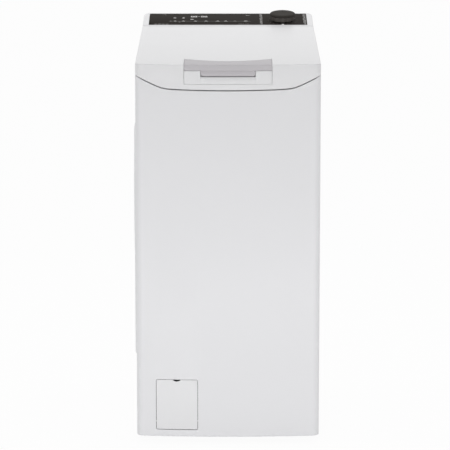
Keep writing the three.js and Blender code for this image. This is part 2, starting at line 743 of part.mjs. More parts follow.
// The two lugs of one damper's lower pin, on the tray's floor.
function damperEar(y) {
  const half = DAMPER_RADIUS + 1;
  const lug = (x) =>
    cut(
      join(
        box(x, x + 4, y - 10, y + 10, trayFloorTop - 1, DAMPER_PIN_LOW),
        rodX(y, DAMPER_PIN_LOW, 10, x, x + 4, 12),
      ),
      rodX(y, DAMPER_PIN_LOW, DAMPER_PIN + FIT, x - 1, x + 5, 12),
    );
  return join(
    lug(DAMPER_X - half - 4),
    lug(DAMPER_X + half),
    box(DAMPER_X - half - 4, DAMPER_X + half + 4, y - 10, y + 10, trayFloorTop - 1, trayFloorTop + 2),
  );
}

// ---------------------------------------------------------------- top frame and console

function topFrame() {
  const inset = SHEET + FIT;
  const riserBack = front + LEDGE_BACK;
  const within = prismZ(planOutline(inset, rearPanelFace), UNDER, SKY);
  const deck = slab(-DECK_DROP - DECK_WALL, -DECK_DROP, riserBack - DECK_WALL, rearPanelFace);
  const ledgeUnder = LEDGE_HEIGHT - DECK_WALL;
  const ledge = box(-FAR, FAR, -FAR, riserBack, ledgeUnder, LEDGE_HEIGHT);
  const riser = box(-FAR, FAR, riserBack - DECK_WALL, riserBack, ledgeUnder, deckTop(riserBack));
  const belowDeck = slab(-200, -DECK_DROP);
  const throatOuter = [THROAT_X + DECK_WALL, THROAT_Y + DECK_WALL, THROAT_RADIUS + DECK_WALL];
  const throat = prismZ(roundedRectangle(...throatOuter), THROAT_BOTTOM, 900).intersect(belowDeck);
  const mouth = prismZ(roundedRectangle(THROAT_X, THROAT_Y, THROAT_RADIUS), THROAT_BOTTOM - 1, SKY);
  const slot = box(
    -TONGUE_HALF - 4, TONGUE_HALF + 4, riserBack + 2, leverY + TONGUE_THICKNESS + 6, UNDER, SKY,
  );
  const plates = join(deck, ledge, riser, throat).intersect(within);
  const ears = [-1, 1].map((side) => hingeEar(side));
  return cut(join(plates, ...ears, sprayInlet()), mouth, slot, sprayBore());
}

// The ear under the lid that holds one hinge pin. side is -1 or 1.
function hingeEar(side) {
  const span = between(side, earX, earX + HINGE_EAR);
  const foot = deckTop(HINGE_Y) - DECK_WALL;
  const profile = [
    [HINGE_Y - 17, foot],
    [HINGE_Y - 3, foot],
    [HINGE_Y - 3, hingeZ],
    [HINGE_Y - 6, hingeZ + 3],
    [HINGE_Y - 17, hingeZ - 8],
  ];
  const head = rodX(HINGE_Y, hingeZ, HINGE_PIN + 3, ...span);
  const bore = rodX(HINGE_Y, hingeZ, HINGE_PIN + FIT, span[0] - 1, span[1] + 1);
  return cut(join(prismX(profile, ...span), head), bore);
}

// The nozzle behind the loading opening that the inlet hose pushes onto.
function sprayInlet() {
  return rodY(SPRAY_X, SPRAY_HEIGHT, HOSE_BORE, THROAT_Y + DECK_WALL / 2, THROAT_Y + 26, 16);
}

function sprayBore() {
  return rodY(SPRAY_X, SPRAY_HEIGHT, HOSE_BORE - 2, THROAT_Y - 1, THROAT_Y + 27, 16);
}

function hingePin(side) {
  const inner = earX - FIT;
  const outer = earX + HINGE_EAR + KNUCKLE;
  return join(
    rodX(HINGE_Y, hingeZ, HINGE_PIN, ...between(side, inner, outer), 16),
    rodX(HINGE_Y, hingeZ, HINGE_PIN + 1.5, ...between(side, inner - 2, inner), 16),
  );
}

// The console's outline in plan: square at the front, round at the back corners.
function consoleOutline(inset) {
  const half = halfBody - inset;
  const back = consoleBack - inset;
  const radius = CONSOLE_RADIUS - inset;
  const points = [[-half, CONSOLE_FRONT + inset], [half, CONSOLE_FRONT + inset]];
  for (let i = 0; i <= 6; i++) {
    const angle = (i / 6) * (Math.PI / 2);
    points.push([half - radius + radius * Math.cos(angle), back - radius + radius * Math.sin(angle)]);
  }
  for (let i = 0; i <= 6; i++) {
    const angle = (1 + i / 6) * (Math.PI / 2);
    points.push([-half + radius + radius * Math.cos(angle), back - radius + radius * Math.sin(angle)]);
  }
  return points;
}

const panelTop = (y) => lidTop(CONSOLE_FRONT) + Math.tan(PANEL_SLOPE) * (y - CONSOLE_FRONT);
const panelTilt = new THREE.Matrix4()
  .makeRotationX(PANEL_SLOPE)
  .setPosition(0, CONSOLE_FRONT, lidTop(CONSOLE_FRONT));

// A solid drawn on the level panel, brought to the panel's place in the machine.
const inPanel = (body) => solid(geometryOf(body).applyMatrix4(panelTilt));

// Everything under the console's sloping top, less a depth.
function underPanel(depth) {
  const edge = (y) => [y, panelTop(y) - depth];
  return prismX([edge(0), [0, UNDER], [400, UNDER], edge(400)].reverse(), -FAR, FAR);
}

function consoleHousing() {
  const base = (y) => [y, Math.max(sideSeam(y) + SEAM / 2, deckTop(y) + FIT)];
  const above = prismX([base(0), base(400), [400, SKY], [0, SKY]], -FAR, FAR);
  const outer = prismZ(consoleOutline(0), UNDER, SKY).intersect(underPanel(0)).intersect(above);
  const inner = prismZ(consoleOutline(CONSOLE_WALL), UNDER, SKY).intersect(underPanel(CONSOLE_TOP_WALL));
  const well = inPanel(
    solid(extrude(fasciaOutline(FIT), CONSOLE_TOP_WALL).translate(0, 0, -FASCIA_THICKNESS - FIT)),
  );
  const shaft = inPanel(rodZ(KNOB_X, KNOB_ALONG, KNOB_SHAFT + 3, -30, 30, 16));
  const windows = inPanel(box(-150, 60, FASCIA_START + 12, FASCIA_START + 22, -30, 30));
  const frontSkirt = consoleFrontWall();
  const post = ([x, y]) => inPanel(rodZ(x, y, 4, -BOARD_DROP + FIT, -CONSOLE_TOP_WALL + 1, 12));
  return cut(join(cut(outer, inner), frontSkirt, ...boardPosts.map(post)), well, shaft, windows);
}

// The console's front wall goes on down to the deck, behind the lid.
function consoleFrontWall() {
  const low = deckTop(CONSOLE_FRONT + CONSOLE_WALL) + FIT;
  const half = halfBody - SHEET - FIT;
  return box(-half, half, CONSOLE_FRONT, CONSOLE_FRONT + CONSOLE_WALL, low, panelTop(CONSOLE_FRONT) - 3);
}

function fasciaOutline(grow) {
  const middle = FASCIA_START + FASCIA_DEPTH / 2;
  return roundedRectangle(fasciaHalf + grow, FASCIA_DEPTH / 2 + grow, 3, 0, middle, 3);
}

function fascia() {
  const plate = solid(extrude(fasciaOutline(0), FASCIA_THICKNESS).translate(0, 0, -FASCIA_THICKNESS));
  return cut(plate, rodZ(KNOB_X, KNOB_ALONG, KNOB_SHAFT + 2, -10, 10, 16));
}

function controlBoard() {
  const top = -BOARD_DROP;
  const depth = FASCIA_DEPTH - 14;
  const middle = FASCIA_START + FASCIA_DEPTH / 2;
  const board = box(-165, 165, middle - depth / 2, middle + depth / 2, top - 1.6, top);
  const encoder = rodZ(KNOB_X, KNOB_ALONG, 14, top - 0.5, top + 9, 16);
  const relays = [-120, -80, -40, 0].map((x) => box(x, x + 22, middle, middle + 18, top - 14, top - 1));
  const lampAt = (x) => box(x, x + 12, FASCIA_START + 13, FASCIA_START + 21, top - 1, top + 12);
  const lamps = [-90, -55, -20, 15].map(lampAt);
  const bore = rodZ(KNOB_X, KNOB_ALONG, KNOB_SHAFT + RUNNING, top + 2, top + 20, 16);
  return cut(join(board, encoder, ...relays, ...lamps), bore);
}

// The knob stands on its axis, with its shaft down to the selector. Its grip is scalloped.
function knob() {
  const flutes = 12;
  const cup = cone(KNOB_BASE_RADIUS, KNOB_TOP_RADIUS, RUNNING, KNOB_HEIGHT, 36);
  const body = solid(cup.rotateX(Math.PI / 2));
  const scallops = [];
  for (let i = 0; i < flutes; i++) {
    const angle = ((i + 0.5) / flutes) * 2 * Math.PI;
    const reach = KNOB_TOP_RADIUS + 1.5;
    const scallop = cone(3.2, 4.2, -1, KNOB_HEIGHT - 3, 8).rotateX(Math.PI / 2);
    scallops.push(solid(scallop.translate(reach * Math.cos(angle), reach * Math.sin(angle), 0)));
  }
  const shaft = rodZ(0, 0, KNOB_SHAFT, -BOARD_DROP + 3, RUNNING + 1, 16);
  const marked = [KNOB_TOP_RADIUS * 0.45, KNOB_TOP_RADIUS * 0.9];
  const pointer = box(-1, 1, ...marked, KNOB_HEIGHT - 0.5, KNOB_HEIGHT + 0.6);
  return join(cut(body, ...scallops), shaft, pointer);
}

// ---------------------------------------------------------------- lid

// The lid's outer form, or the hollow inside it, drawn in by a wall.
function lidForm(wall) {
  const flat = slab(-200, -wall, -FAR, HINGE_Y);
  const nose = rodX(HINGE_Y, hingeZ, LID_NOSE - wall, -FAR, FAR, 28);
  const plan = prismZ(planOutline(wall, HINGE_Y + LID_NOSE + 1), UNDER, SKY);
  return cut(join(flat, nose), slab(-wall, 100)).intersect(plan);
}

function lidShell() {
  const outer = lidForm(0).intersect(aboveSeam(SEAM / 2));
  const underNose = box(
    -sideInside + LID_WALL, sideInside - LID_WALL, HINGE_Y - 1, HINGE_Y + LID_NOSE + 2, 600, hingeZ,
  );
  const skin = cut(outer, lidForm(LID_WALL), underNose);
  const carried = [-1, 1].flatMap((side) => [hingeKnuckle(side), leverEar(side)]);
  return cut(join(cut(skin, handleOpening()), ...carried), bezelOpening());
}

function hingeKnuckle(side) {
  const start = earX + HINGE_EAR + RUNNING;
  const span = between(side, start, start + KNUCKLE);
  const radius = HINGE_PIN + 3.5;
  const web = box(...span, HINGE_Y - radius, HINGE_Y + radius, hingeZ, lidTop(HINGE_Y) - LID_WALL / 2);
  const head = rodX(HINGE_Y, hingeZ, radius, ...span);
  const bore = rodX(HINGE_Y, hingeZ, HINGE_PIN + RUNNING, span[0] - 1, span[1] + 1);
  return cut(join(web, head), bore);
}

function leverEar(side) {
  const start = HANDLE_HALF + 1;
  const span = between(side, start, start + LEVER_EAR);
  const radius = LEVER_PIN + 2;
  const web = box(...span, leverY - radius, leverY + radius, leverZ, lidTop(leverY) - LID_WALL / 2 - 0.4);
  const head = rodX(leverY, leverZ, radius, ...span, 16);
  return cut(join(web, head), rodX(leverY, leverZ, LEVER_PIN + RUNNING, span[0] - 1, span[1] + 1, 16));
}

// The handle's outline on the lid's top: bowed with the front, hollow at the back.
function handleOutline(grow) {
  const half = HANDLE_HALF + grow;
  const rise = HANDLE_BACK_END - HANDLE_BACK_MIDDLE;
  const points = [[half, front - 20], [half, front + HANDLE_BACK_END + grow]];
  for (let i = 1; i < 12; i++) {
    const x = half * (1 - i / 6);
    points.push([x, front + HANDLE_BACK_MIDDLE + grow + rise * (x / half) ** 2]);
  }
  points.push([-half, front + HANDLE_BACK_END + grow], [-half, front - 20]);
  return points;
}

const handleOpening = () => prismZ(handleOutline(HANDLE_GAP / 2), BAR_BOTTOM, SKY);

function bezelOpening() {
  return box(-HANDLE_HALF - FIT, HANDLE_HALF + FIT, front - 5, front + 40, BEZEL_BOTTOM, BAR_BOTTOM + 3);
}

// The surround that fills the lid's front under the handle and forms the finger pocket.
function handleBezel() {
  const half = HANDLE_HALF - FIT;
  const back = POCKET_DEPTH + LINER_WALL;
  const top = BAR_BOTTOM - FIT;
  const bottom = BEZEL_BOTTOM + FIT * 2;
  const body = prismZ(bowBand(0, back, half), bottom, top);
  const floor = (y) => POCKET_LIP + (POCKET_RISE * (y - front)) / POCKET_DEPTH;
  const profile = [[front - 20, floor(front)], [front + POCKET_DEPTH, floor(front + POCKET_DEPTH)]];
  const tall = [[front + POCKET_DEPTH, FAR * 2], [front - 20, FAR * 2]];
  const pocket = prismX([...profile, ...tall], -POCKET_HALF, POCKET_HALF);
  const hollow = (side) => between(side, POCKET_HALF + LINER_WALL, half - LINER_WALL);
  const lighten = (side) => box(...hollow(side), front + 8, front + POCKET_DEPTH, bottom + 3, FAR * 2);
  return cut(body, pocket, lighten(-1), lighten(1));
}

// The handle: a sprung lever with its tab, its pins and the tongue that the latch holds.
function handleLever() {
  const half = HANDLE_HALF - HANDLE_GAP / 2;
  const outline = handleOutline(-HANDLE_GAP / 2);
  const proud = prismZ(planOutline(-HANDLE_PROUD, 0), UNDER, SKY);
  const core = prismZ(planOutline(HANDLE_WALL - HANDLE_PROUD, 0), UNDER, SKY);
  const shape = prismZ(outline, BAR_BOTTOM, SKY).intersect(proud);
  const skin = cut(shape, slab(0, 200), core.intersect(slab(-200, -HANDLE_WALL)));
  const tabHeight = box(-POCKET_HALF + 0.4, POCKET_HALF - 0.4, -FAR, 0, TAB_BOTTOM, BAR_BOTTOM + 1);
  const tab = cut(proud.intersect(tabHeight), core);
  const webs = [-1, 1].map((side) => leverWeb(side, half));
  const pin = rodX(leverY, leverZ, LEVER_PIN, -HANDLE_HALF - LEVER_EAR, HANDLE_HALF + LEVER_EAR, 16);
  const bar = rodX(leverY, leverZ, LEVER_PIN + 1.2, -half, half, 16);
  return join(skin, tab, ...webs, pin, bar, latchTongue());
}

function leverWeb(side, half) {
  const low = BAR_BOTTOM + FIT;
  const profile = [
    [front + 6, low],
    [leverY + 3, leverZ - 3],
    [leverY + 3, lidTop(leverY + 3) - 1],
    [front + 6, lidTop(front + 6) - 1],
  ];
  return prismX(profile, ...between(side, half - 4, half));
}

function latchTongue() {
  const tip = leverZ - TONGUE_LENGTH;
  const start = leverY - TONGUE_THICKNESS / 2;
  const end = leverY + TONGUE_THICKNESS / 2;
  const blade = box(-TONGUE_HALF, TONGUE_HALF, start, end, tip, leverZ);
  const hook = [[start, tip], [end + TONGUE_NOSE, tip + 5], [end, tip + 7]];
  const nose = prismX(hook, -TONGUE_HALF, TONGUE_HALF);
  return join(blade, nose);
}

function doorLock() {
  const x = 26;
  const catchFace = leverY + TONGUE_THICKNESS / 2 + TONGUE_NOSE + 0.5;
  const low = leverZ - TONGUE_LENGTH - 12;
  const back = catchFace + 24;
  const body = box(-x, x, leverY - 12, back, low, deckBottom(leverY - 12) - FIT);
  const sloped = slab(-DECK_DROP - DECK_WALL - FIT, 100);
  const well = box(-TONGUE_HALF - 3, TONGUE_HALF + 3, leverY - 10, catchFace, low + 4, SKY);
  return cut(body, sloped, well);
}

// The liner closes the lid from below.
function lidLiner() {
  const start = front + LINER_FRONT;
  const half = halfBody - LID_WALL - 9;
  const sheet = slab(-LINER_DROP, -LINER_DROP + LINER_WALL, start, LINER_BACK);
  const tall = slab(-LINER_DROP, -LID_WALL - FIT, start, LINER_BACK);
  const block = box(-half, half, -FAR, FAR, 0, FAR * 2);
  const inside = half - LINER_WALL;
  const hollow = box(-inside, inside, start + LINER_WALL, LINER_BACK - LINER_WALL, 0, FAR * 2);
  const rim = cut(tall.intersect(block), hollow);
  return join(sheet.intersect(block), rim);
}

// The dispenser hangs under the liner. Its pockets open to the front, which is up when the lid stands open.
function dispenser() {
  const top = -LINER_DROP - FIT;
  const outer = slab(-DISPENSER_DROP, top, DISPENSER_FRONT, DISPENSER_BACK).intersect(
    box(-DISPENSER_HALF, DISPENSER_HALF, -FAR, FAR, 0, FAR * 2),
  );
  const walls = DISPENSER_POCKETS + 1;
  const width = (2 * DISPENSER_HALF - walls * DISPENSER_WALL) / DISPENSER_POCKETS;
  const pockets = [];
  for (let i = 0; i < DISPENSER_POCKETS; i++) {
    const start = -DISPENSER_HALF + DISPENSER_WALL + i * (width + DISPENSER_WALL);
    const space = slab(
      -DISPENSER_DROP + DISPENSER_WALL,
      top - DISPENSER_WALL,
      DISPENSER_FRONT - 5,
      DISPENSER_BACK - DISPENSER_WALL,
    );
    pockets.push(space.intersect(box(start, start + width, -FAR, FAR, 0, FAR * 2)));
  }
  return cut(outer, ...pockets);
}

// ---------------------------------------------------------------- tub, in the frame of the drum's axis

const TUB_SIDES = 32;
const drumRod = (radius, from, to) => rodX(0, 0, radius, from, to, TUB_SIDES);

function tubHalf(side) {
  const start = FIT / 2;
  const outer = join(
    drumRod(TUB_RADIUS, ...between(side, start, TUB_HALF)),
    drumRod(TUB_RADIUS + TUB_FLANGE, ...between(side, start, TUB_FLANGE / 2)),
    drumRod(BOSS_RADIUS, ...between(side, TUB_HALF - 1, tubFace)),
    tubCollar(side),
    tubSpringLugs(side),
    ...(side < 0 ? [motorBrackets(), sumpSpout()] : damperPlaces.map((y) => damperLugs(y))),
  );
  const inner = drumRod(TUB_RADIUS - TUB_WALL, ...between(side, start - 1, TUB_HALF - TUB_WALL));
  const mouth = prismZ(roundedRectangle(COLLAR_X, COLLAR_Y, THROAT_RADIUS), 100, 400);
  const seat = tubFace - BEARING_WIDTH - 1;
  const boss = drumRod(BOSS_RADIUS, ...between(side, seat - 2, TUB_HALF));
  const bore = drumRod(BEARING_RADIUS + FIT, ...between(side, seat, tubFace + 1));
  const neck = drumRod(SHAFT_RADIUS + 1, ...between(side, seat - 5, seat + 1));
  const drain = side < 0 ? sumpBore() : heaterHole();
  return cut(join(cut(outer, inner, mouth), boss), bore, neck, drain);
}

function tubCollar(side) {
  const grown = [COLLAR_X, COLLAR_Y, THROAT_RADIUS].map((size) => size + COLLAR_WALL);
  const outline = roundedRectangle(...grown);
  const low = Math.sqrt(TUB_RADIUS ** 2 - COLLAR_Y ** 2) - 30;
  const tower = prismZ(outline, low, COLLAR_TOP - AXIS_HEIGHT);
  return tower.intersect(box(...between(side, FIT / 2, 200), -FAR, FAR, 0, FAR));
}

function tubSpringLugs(side) {
  const span = between(side, TUB_HALF - 1, SPRING_X + SPRING_COIL + 2);
  const top = LUG_HEIGHT - AXIS_HEIGHT;
  const lug = (y) => box(...span, y - SPRING_COIL - 2, y + SPRING_COIL + 2, top - LUG_WALL, top);
  return join(lug(-SPRING_Y), lug(SPRING_Y));
}

// Two plates that carry the motor by its end bosses.
function motorBrackets() {
  const plate = (x) =>
    cut(
      box(x, x + BRACKET_WALL, MOTOR_Y - 32, MOTOR_Y + 32, motorZ, -150),
      rodX(MOTOR_Y, motorZ, MOTOR_BOSS + FIT, x - 1, x + BRACKET_WALL + 1),
    );
  const foot = (x) =>
    cut(
      rodX(MOTOR_Y, motorZ, 32, x, x + BRACKET_WALL),
      rodX(MOTOR_Y, motorZ, MOTOR_BOSS + FIT, x - 1, x + BRACKET_WALL + 1),
    );
  const left = motorLeft - FIT - BRACKET_WALL;
  const right = motorRight + FIT;
  const solidInTub = drumRod(TUB_RADIUS - 1, -TUB_HALF - 1, 1);
  return cut(join(plate(left), foot(left), plate(right), foot(right)), solidInTub);
}

const sumpSpout = () =>
  cut(
    rodZ(PUMP_X, SUMP_Y, SPOUT_RADIUS, SUMP_HEIGHT - AXIS_HEIGHT, -TUB_RADIUS / 2, 16),
    drumRod(TUB_RADIUS - 1, -TUB_HALF - 1, 1),
  );
const sumpBore = () =>
  rodZ(PUMP_X, SUMP_Y, SPOUT_RADIUS - SPOUT_WALL, SUMP_HEIGHT - AXIS_HEIGHT - 1, -TUB_RADIUS / 2, 16);

function damperLugs(y) {
  const top = DAMPER_TOP - AXIS_HEIGHT;
  const gap = DAMPER_ROD + 4;
  const lug = (x) =>
    cut(
      join(box(x, x + 5, y - 12, y + 12, top, -150), rodX(y, top, 12, x, x + 5, 12)),
      rodX(y, top, DAMPER_PIN + FIT, x - 1, x + 6, 12),
      drumRod(TUB_RADIUS - 1, 0, TUB_HALF),
    );
  return join(lug(DAMPER_X - gap - 5), lug(DAMPER_X + gap));
}

const heaterHole = () => {
  const half = HEATER_HALF_WIDTH + HEATER_TUBE + 2;
  const tall = HEATER_TUBE + 2;
  return box(TUB_HALF - TUB_WALL - 1, TUB_HALF + 1, -half, half, -HEATER_DEPTH - tall, -HEATER_DEPTH + tall);
};

// The heating element: a hairpin in the tub's bottom with its flange outside the right end.
function heater() {
  const z = -HEATER_DEPTH;
  const half = HEATER_HALF_WIDTH;
  const leg = (y) => rodX(y, z, HEATER_TUBE, -HEATER_REACH, TUB_HALF + 14, 8);
  const bend = tubeAlong(hairpinBend(half, z), HEATER_TUBE, 8, 8);
  const seal = half + HEATER_TUBE + 2 - FIT;
  const plug = box(TUB_HALF - TUB_WALL - 3, TUB_HALF + 2, -seal, seal, z - 4.9, z + 4.9);
  const flange = box(TUB_HALF + FIT, TUB_HALF + 4, -seal - 6, seal + 6, z - 9, z + 9);
  return join(leg(-half), leg(half), bend, plug, flange);
}

function hairpinBend(half, z) {
  const points = [];
  for (let i = 0; i <= 10; i++) {
    const angle = (i / 10) * Math.PI;
    points.push([-HEATER_REACH + 1 - half * Math.sin(angle), half * Math.cos(angle), z]);
  }
  return points;
}

function counterweight(side) {
  const near = TUB_RADIUS * 0.8;
  const tall = WEIGHT_HALF_HEIGHT;
  const block = box(-WEIGHT_HALF, WEIGHT_HALF, ...between(side, near, WEIGHT_REACH), -tall, tall);
  const flange = drumRod(TUB_RADIUS + TUB_FLANGE + FIT, -TUB_FLANGE / 2 - FIT, TUB_FLANGE / 2 + FIT);
  return cut(block, drumRod(TUB_RADIUS + FIT, -200, 200), flange);
}

function bearing(side) {
  const seat = tubFace - BEARING_WIDTH - 1 + FIT;
  const ring = rodX(0, 0, BEARING_RADIUS, ...between(side, seat, seat + BEARING_WIDTH), 28);
  return cut(ring, rodX(0, 0, SHAFT_RADIUS + FIT, ...between(side, seat - 1, seat + BEARING_WIDTH + 1), 28));
}

function motorHousing() {
  const shell = join(
    rodX(0, 0, MOTOR_RADIUS, motorLeft, motorRight, 28),
    rodX(0, 0, MOTOR_BOSS, motorLeft - BRACKET_WALL, motorRight + BRACKET_WALL, 22),
  );
  const cavity = rodX(0, 0, ROTOR_RADIUS + 2, motorLeft + 10, motorRight - 10, 28);
  return cut(shell, cavity, rodX(0, 0, MOTOR_SHAFT + RUNNING, motorLeft - 20, motorRight + 20, 16));
}

function motorRotor() {
  return join(
    rodX(0, 0, MOTOR_SHAFT, pulleyEnd - 3, motorRight + 2, 16),
    rodX(0, 0, ROTOR_RADIUS, motorLeft + 16, motorRight - 16, 22),
    rodX(0, 0, MOTOR_PULLEY_RADIUS, pulleyEnd, pulleyFace, 22),
  );
}

// The belt's inner or outer line around both pulleys, as points in Y and Z.
function beltLine(grow) {
  const big = PULLEY_RADIUS + grow;
  const small = MOTOR_PULLEY_RADIUS + grow;
  const distance = Math.hypot(MOTOR_Y, motorZ);
  const heading = Math.atan2(motorZ, MOTOR_Y);
  const spread = Math.acos((big - small) / distance);
  const points = [];
  for (let i = 0; i <= 28; i++) {
    const angle = heading + spread + (i / 28) * (2 * Math.PI - 2 * spread);
    points.push([big * Math.cos(angle), big * Math.sin(angle)]);
  }
  for (let i = 0; i <= 8; i++) {
    const angle = heading - spread + (i / 8) * 2 * spread;
    points.push([MOTOR_Y + small * Math.cos(angle), motorZ + small * Math.sin(angle)]);
  }
  return points;
}

function belt() {
  const middle = (pulleyFace + pulleyEnd) / 2;
  const from = middle - BELT_WIDTH / 2;
  const to = middle + BELT_WIDTH / 2;
  return cut(
    prismX(beltLine(BELT_GAP + BELT_THICKNESS), from, to),
    prismX(beltLine(BELT_GAP), from - 1, to + 1),
  );
}

function drumPulley() {
  const rim = cut(
    rodX(0, 0, PULLEY_RADIUS, pulleyEnd, pulleyFace, TUB_SIDES),
    rodX(0, 0, PULLEY_RADIUS - 6, pulleyEnd - 1, pulleyFace + 1, TUB_SIDES),
  );
  const web = rodX(0, 0, PULLEY_RADIUS - 4, pulleyFace - 5, pulleyFace - 2, TUB_SIDES);
  const hub = rodX(0, 0, SHAFT_RADIUS + 9, pulleyEnd, pulleyFace, 22);
  const windows = [];
  for (let i = 0; i < 5; i++) {
    const angle = (i / 5) * 2 * Math.PI;
    const reach = PULLEY_RADIUS * 0.55;
    windows.push(rodX(reach * Math.cos(angle), reach * Math.sin(angle), 30, pulleyEnd, pulleyFace, 10));
  }
  const bore = rodX(0, 0, SHAFT_RADIUS + FIT, pulleyEnd - 1, pulleyFace + 1, 22);
  return cut(join(rim, cut(web, ...windows), hub), bore);
}

// A stub shaft with its flange on one end of the drum.
function drumShaft(side) {
  const start = DRUM_HALF + FIT;
  const end = side < 0 ? -pulleyEnd - FIT : tubFace - FIT;
  return join(
    rodX(0, 0, SHAFT_RADIUS, ...between(side, start, end), 22),
    rodX(0, 0, HUB_RADIUS, ...between(side, start, start + HUB_THICKNESS), 28),
  );
}

// ---------------------------------------------------------------- drum

const skinRadius = DRUM_RADIUS - DRUM_WALL / 2; // middle of the drum's sheet
const flapHinge = (side) => [side * skinRadius * Math.sin(FLAP_ANGLE), skinRadius * Math.cos(FLAP_ANGLE)];

// A band of the drum's round, as points in Y and Z. Angles go from the top towards +Y.
function drumBand(inner, outer, from, to, steps) {
  const at = (radius, i) => {
    const angle = from + ((to - from) * i) / steps;
    return [radius * Math.sin(angle), radius * Math.cos(angle)];
  };
  const points = [];
  for (let i = 0; i <= steps; i++) points.push(at(inner, i));
  for (let i = steps; i >= 0; i--) points.push(at(outer, i));
  return points;
}

function drumShell() {
  const skin = cut(
    drumRod(DRUM_RADIUS, -DRUM_HALF, DRUM_HALF),
    drumRod(DRUM_RADIUS - DRUM_WALL, -DRUM_HALF + DRUM_END, DRUM_HALF - DRUM_END),
  );
  const edge = FLAP_ANGLE + (FLAP_BARREL + RUNNING) / skinRadius;
  const half = FLAP_HALF + FLAP_SIDE_GAP;
  const opening = prismX(drumBand(DRUM_RADIUS - 20, DRUM_RADIUS + 20, -edge, edge, 12), -half, half);
  const knuckles = [];
  const bores = [];
  for (const side of [-1, 1]) {
    const hinge = flapHinge(side);
    for (const end of [-1, 1]) {
      knuckles.push(rodX(...hinge, FLAP_BARREL + 0.4, ...between(end, half, half + FLAP_KNUCKLE), 10));
    }
    bores.push(rodX(...hinge, FLAP_PIN + FIT, -half - FLAP_KNUCKLE - 1, half + FLAP_KNUCKLE + 1, 8));
  }
  return cut(join(cut(skin, opening), ...knuckles), ...bores);
}

// One half of the drum's door. side is -1 for the front one.
function drumFlap(side) {
  const meet = FLAP_GAP / 2;
  const band = drumBand(DRUM_RADIUS - DRUM_WALL, DRUM_RADIUS, meet / skinRadius, FLAP_ANGLE, 8);
  const points = side > 0 ? band : band.map(([y, z]) => [-y, z]).reverse();
  const hinge = flapHinge(side);
  const plate = prismX(points.reverse(), -FLAP_HALF, FLAP_HALF);
  const barrel = rodX(...hinge, FLAP_BARREL, -FLAP_HALF, FLAP_HALF, 10);
  const reach = FLAP_HALF + FLAP_SIDE_GAP + FLAP_KNUCKLE;
  const pin = rodX(...hinge, FLAP_PIN, -reach, reach, 8);
  const edge = between(side, meet, meet + FLAP_LIP);
  const lip = box(-FLAP_HALF, FLAP_HALF, ...edge, DRUM_RADIUS - FLAP_LIP_DEPTH, DRUM_RADIUS - 0.5);
  const body = join(plate, barrel, pin, lip);
  return cut(body, side < 0 ? catchSlot() : catchNotch());
}

function catchSlot() {
  const half = CATCH_HALF + RUNNING;
  return box(-half, half, -CATCH_BACK - CATCH_TRAVEL - RUNNING, 1, DRUM_RADIUS - 20, DRUM_RADIUS + 5);
}

function catchNotch() {
  const half = CATCH_NOSE_HALF + RUNNING;
  return box(-half, half, -1, CATCH_NOSE + CATCH_SWING, DRUM_RADIUS - 20, DRUM_RADIUS + 5);
}

function flapCatch() {
  const low = DRUM_RADIUS - 4;
  const high = DRUM_RADIUS + 1;
  const body = box(-CATCH_HALF, CATCH_HALF, -CATCH_BACK, -FLAP_GAP, low, high);
  const nose = box(-CATCH_NOSE_HALF, CATCH_NOSE_HALF, -FLAP_GAP - 1, CATCH_NOSE, low, DRUM_RADIUS - 0.5);
  const thumb = between(1, -CATCH_BACK + 6, -CATCH_BACK + 14);
  const dimple = box(-CATCH_HALF + 4, CATCH_HALF - 4, ...thumb, high - 1.2, high + 1);
  return cut(join(body, nose), dimple);
}

// A lifter paddle on the drum's inside. side is -1 for the front one.
function lifter(side) {
  const seat = DRUM_RADIUS - DRUM_WALL - 2 * FIT;
  const tip = seat - LIFTER_HEIGHT;
  const half = LIFTER_HALF_WIDTH;
  const left = [[-half, seat + 5], [-half, seat - 6], [-8, tip + 4]];
  const right = left.map(([a, b]) => [-a, b]).reverse();
  const wedge = [...left, [0, tip], ...right];
  const length = DRUM_HALF - DRUM_END - 6;
  const paddle = solid(
    extrude(wedge, 2 * length).applyMatrix4(ALONG_X).translate(-length, 0, 0).rotateX(-side * LIFTER_ANGLE),
  );
  return paddle.intersect(drumRod(seat, -DRUM_HALF, DRUM_HALF));
}

// ---------------------------------------------------------------- suspension and gasket

class Coil extends THREE.Curve {
  constructor(radius, height, turns) {
    super();
    Object.assign(this, { radius, height, turns });
  }

  getPoint(t, target = new THREE.Vector3()) {
    const angle = t * this.turns * 2 * Math.PI;
    return target.set(this.radius * Math.cos(angle), this.radius * Math.sin(angle), t * this.height);
  }
}

function spring() {
  const low = LUG_HEIGHT + FIT + SPRING_WIRE;
  const high = RAIL_HEIGHT - FIT - SPRING_WIRE;
  const path = new Coil(SPRING_COIL, high - low, SPRING_TURNS);
  return solid(sweep(path, SPRING_WIRE, SPRING_TURNS * 6, 4).translate(0, 0, low));
}

function damperCylinder() {
  const low = DAMPER_PIN_LOW + 12;
  const tube = rodZ(0, 0, DAMPER_RADIUS, low, low + DAMPER_LENGTH, 12);
  const bore = rodZ(0, 0, DAMPER_BORE, low + 6, low + DAMPER_LENGTH + 1, 12);
  const eye = rodX(0, DAMPER_PIN_LOW, 9, -DAMPER_RADIUS + 1, DAMPER_RADIUS - 1, 12);
  const stem = rodZ(0, 0, 8, DAMPER_PIN_LOW, low + 1, 12);
  const pin = rodX(0, DAMPER_PIN_LOW, DAMPER_PIN, -DAMPER_RADIUS - 5, DAMPER_RADIUS + 5, 12);
  return join(cut(tube, bore), eye, stem, pin);
}

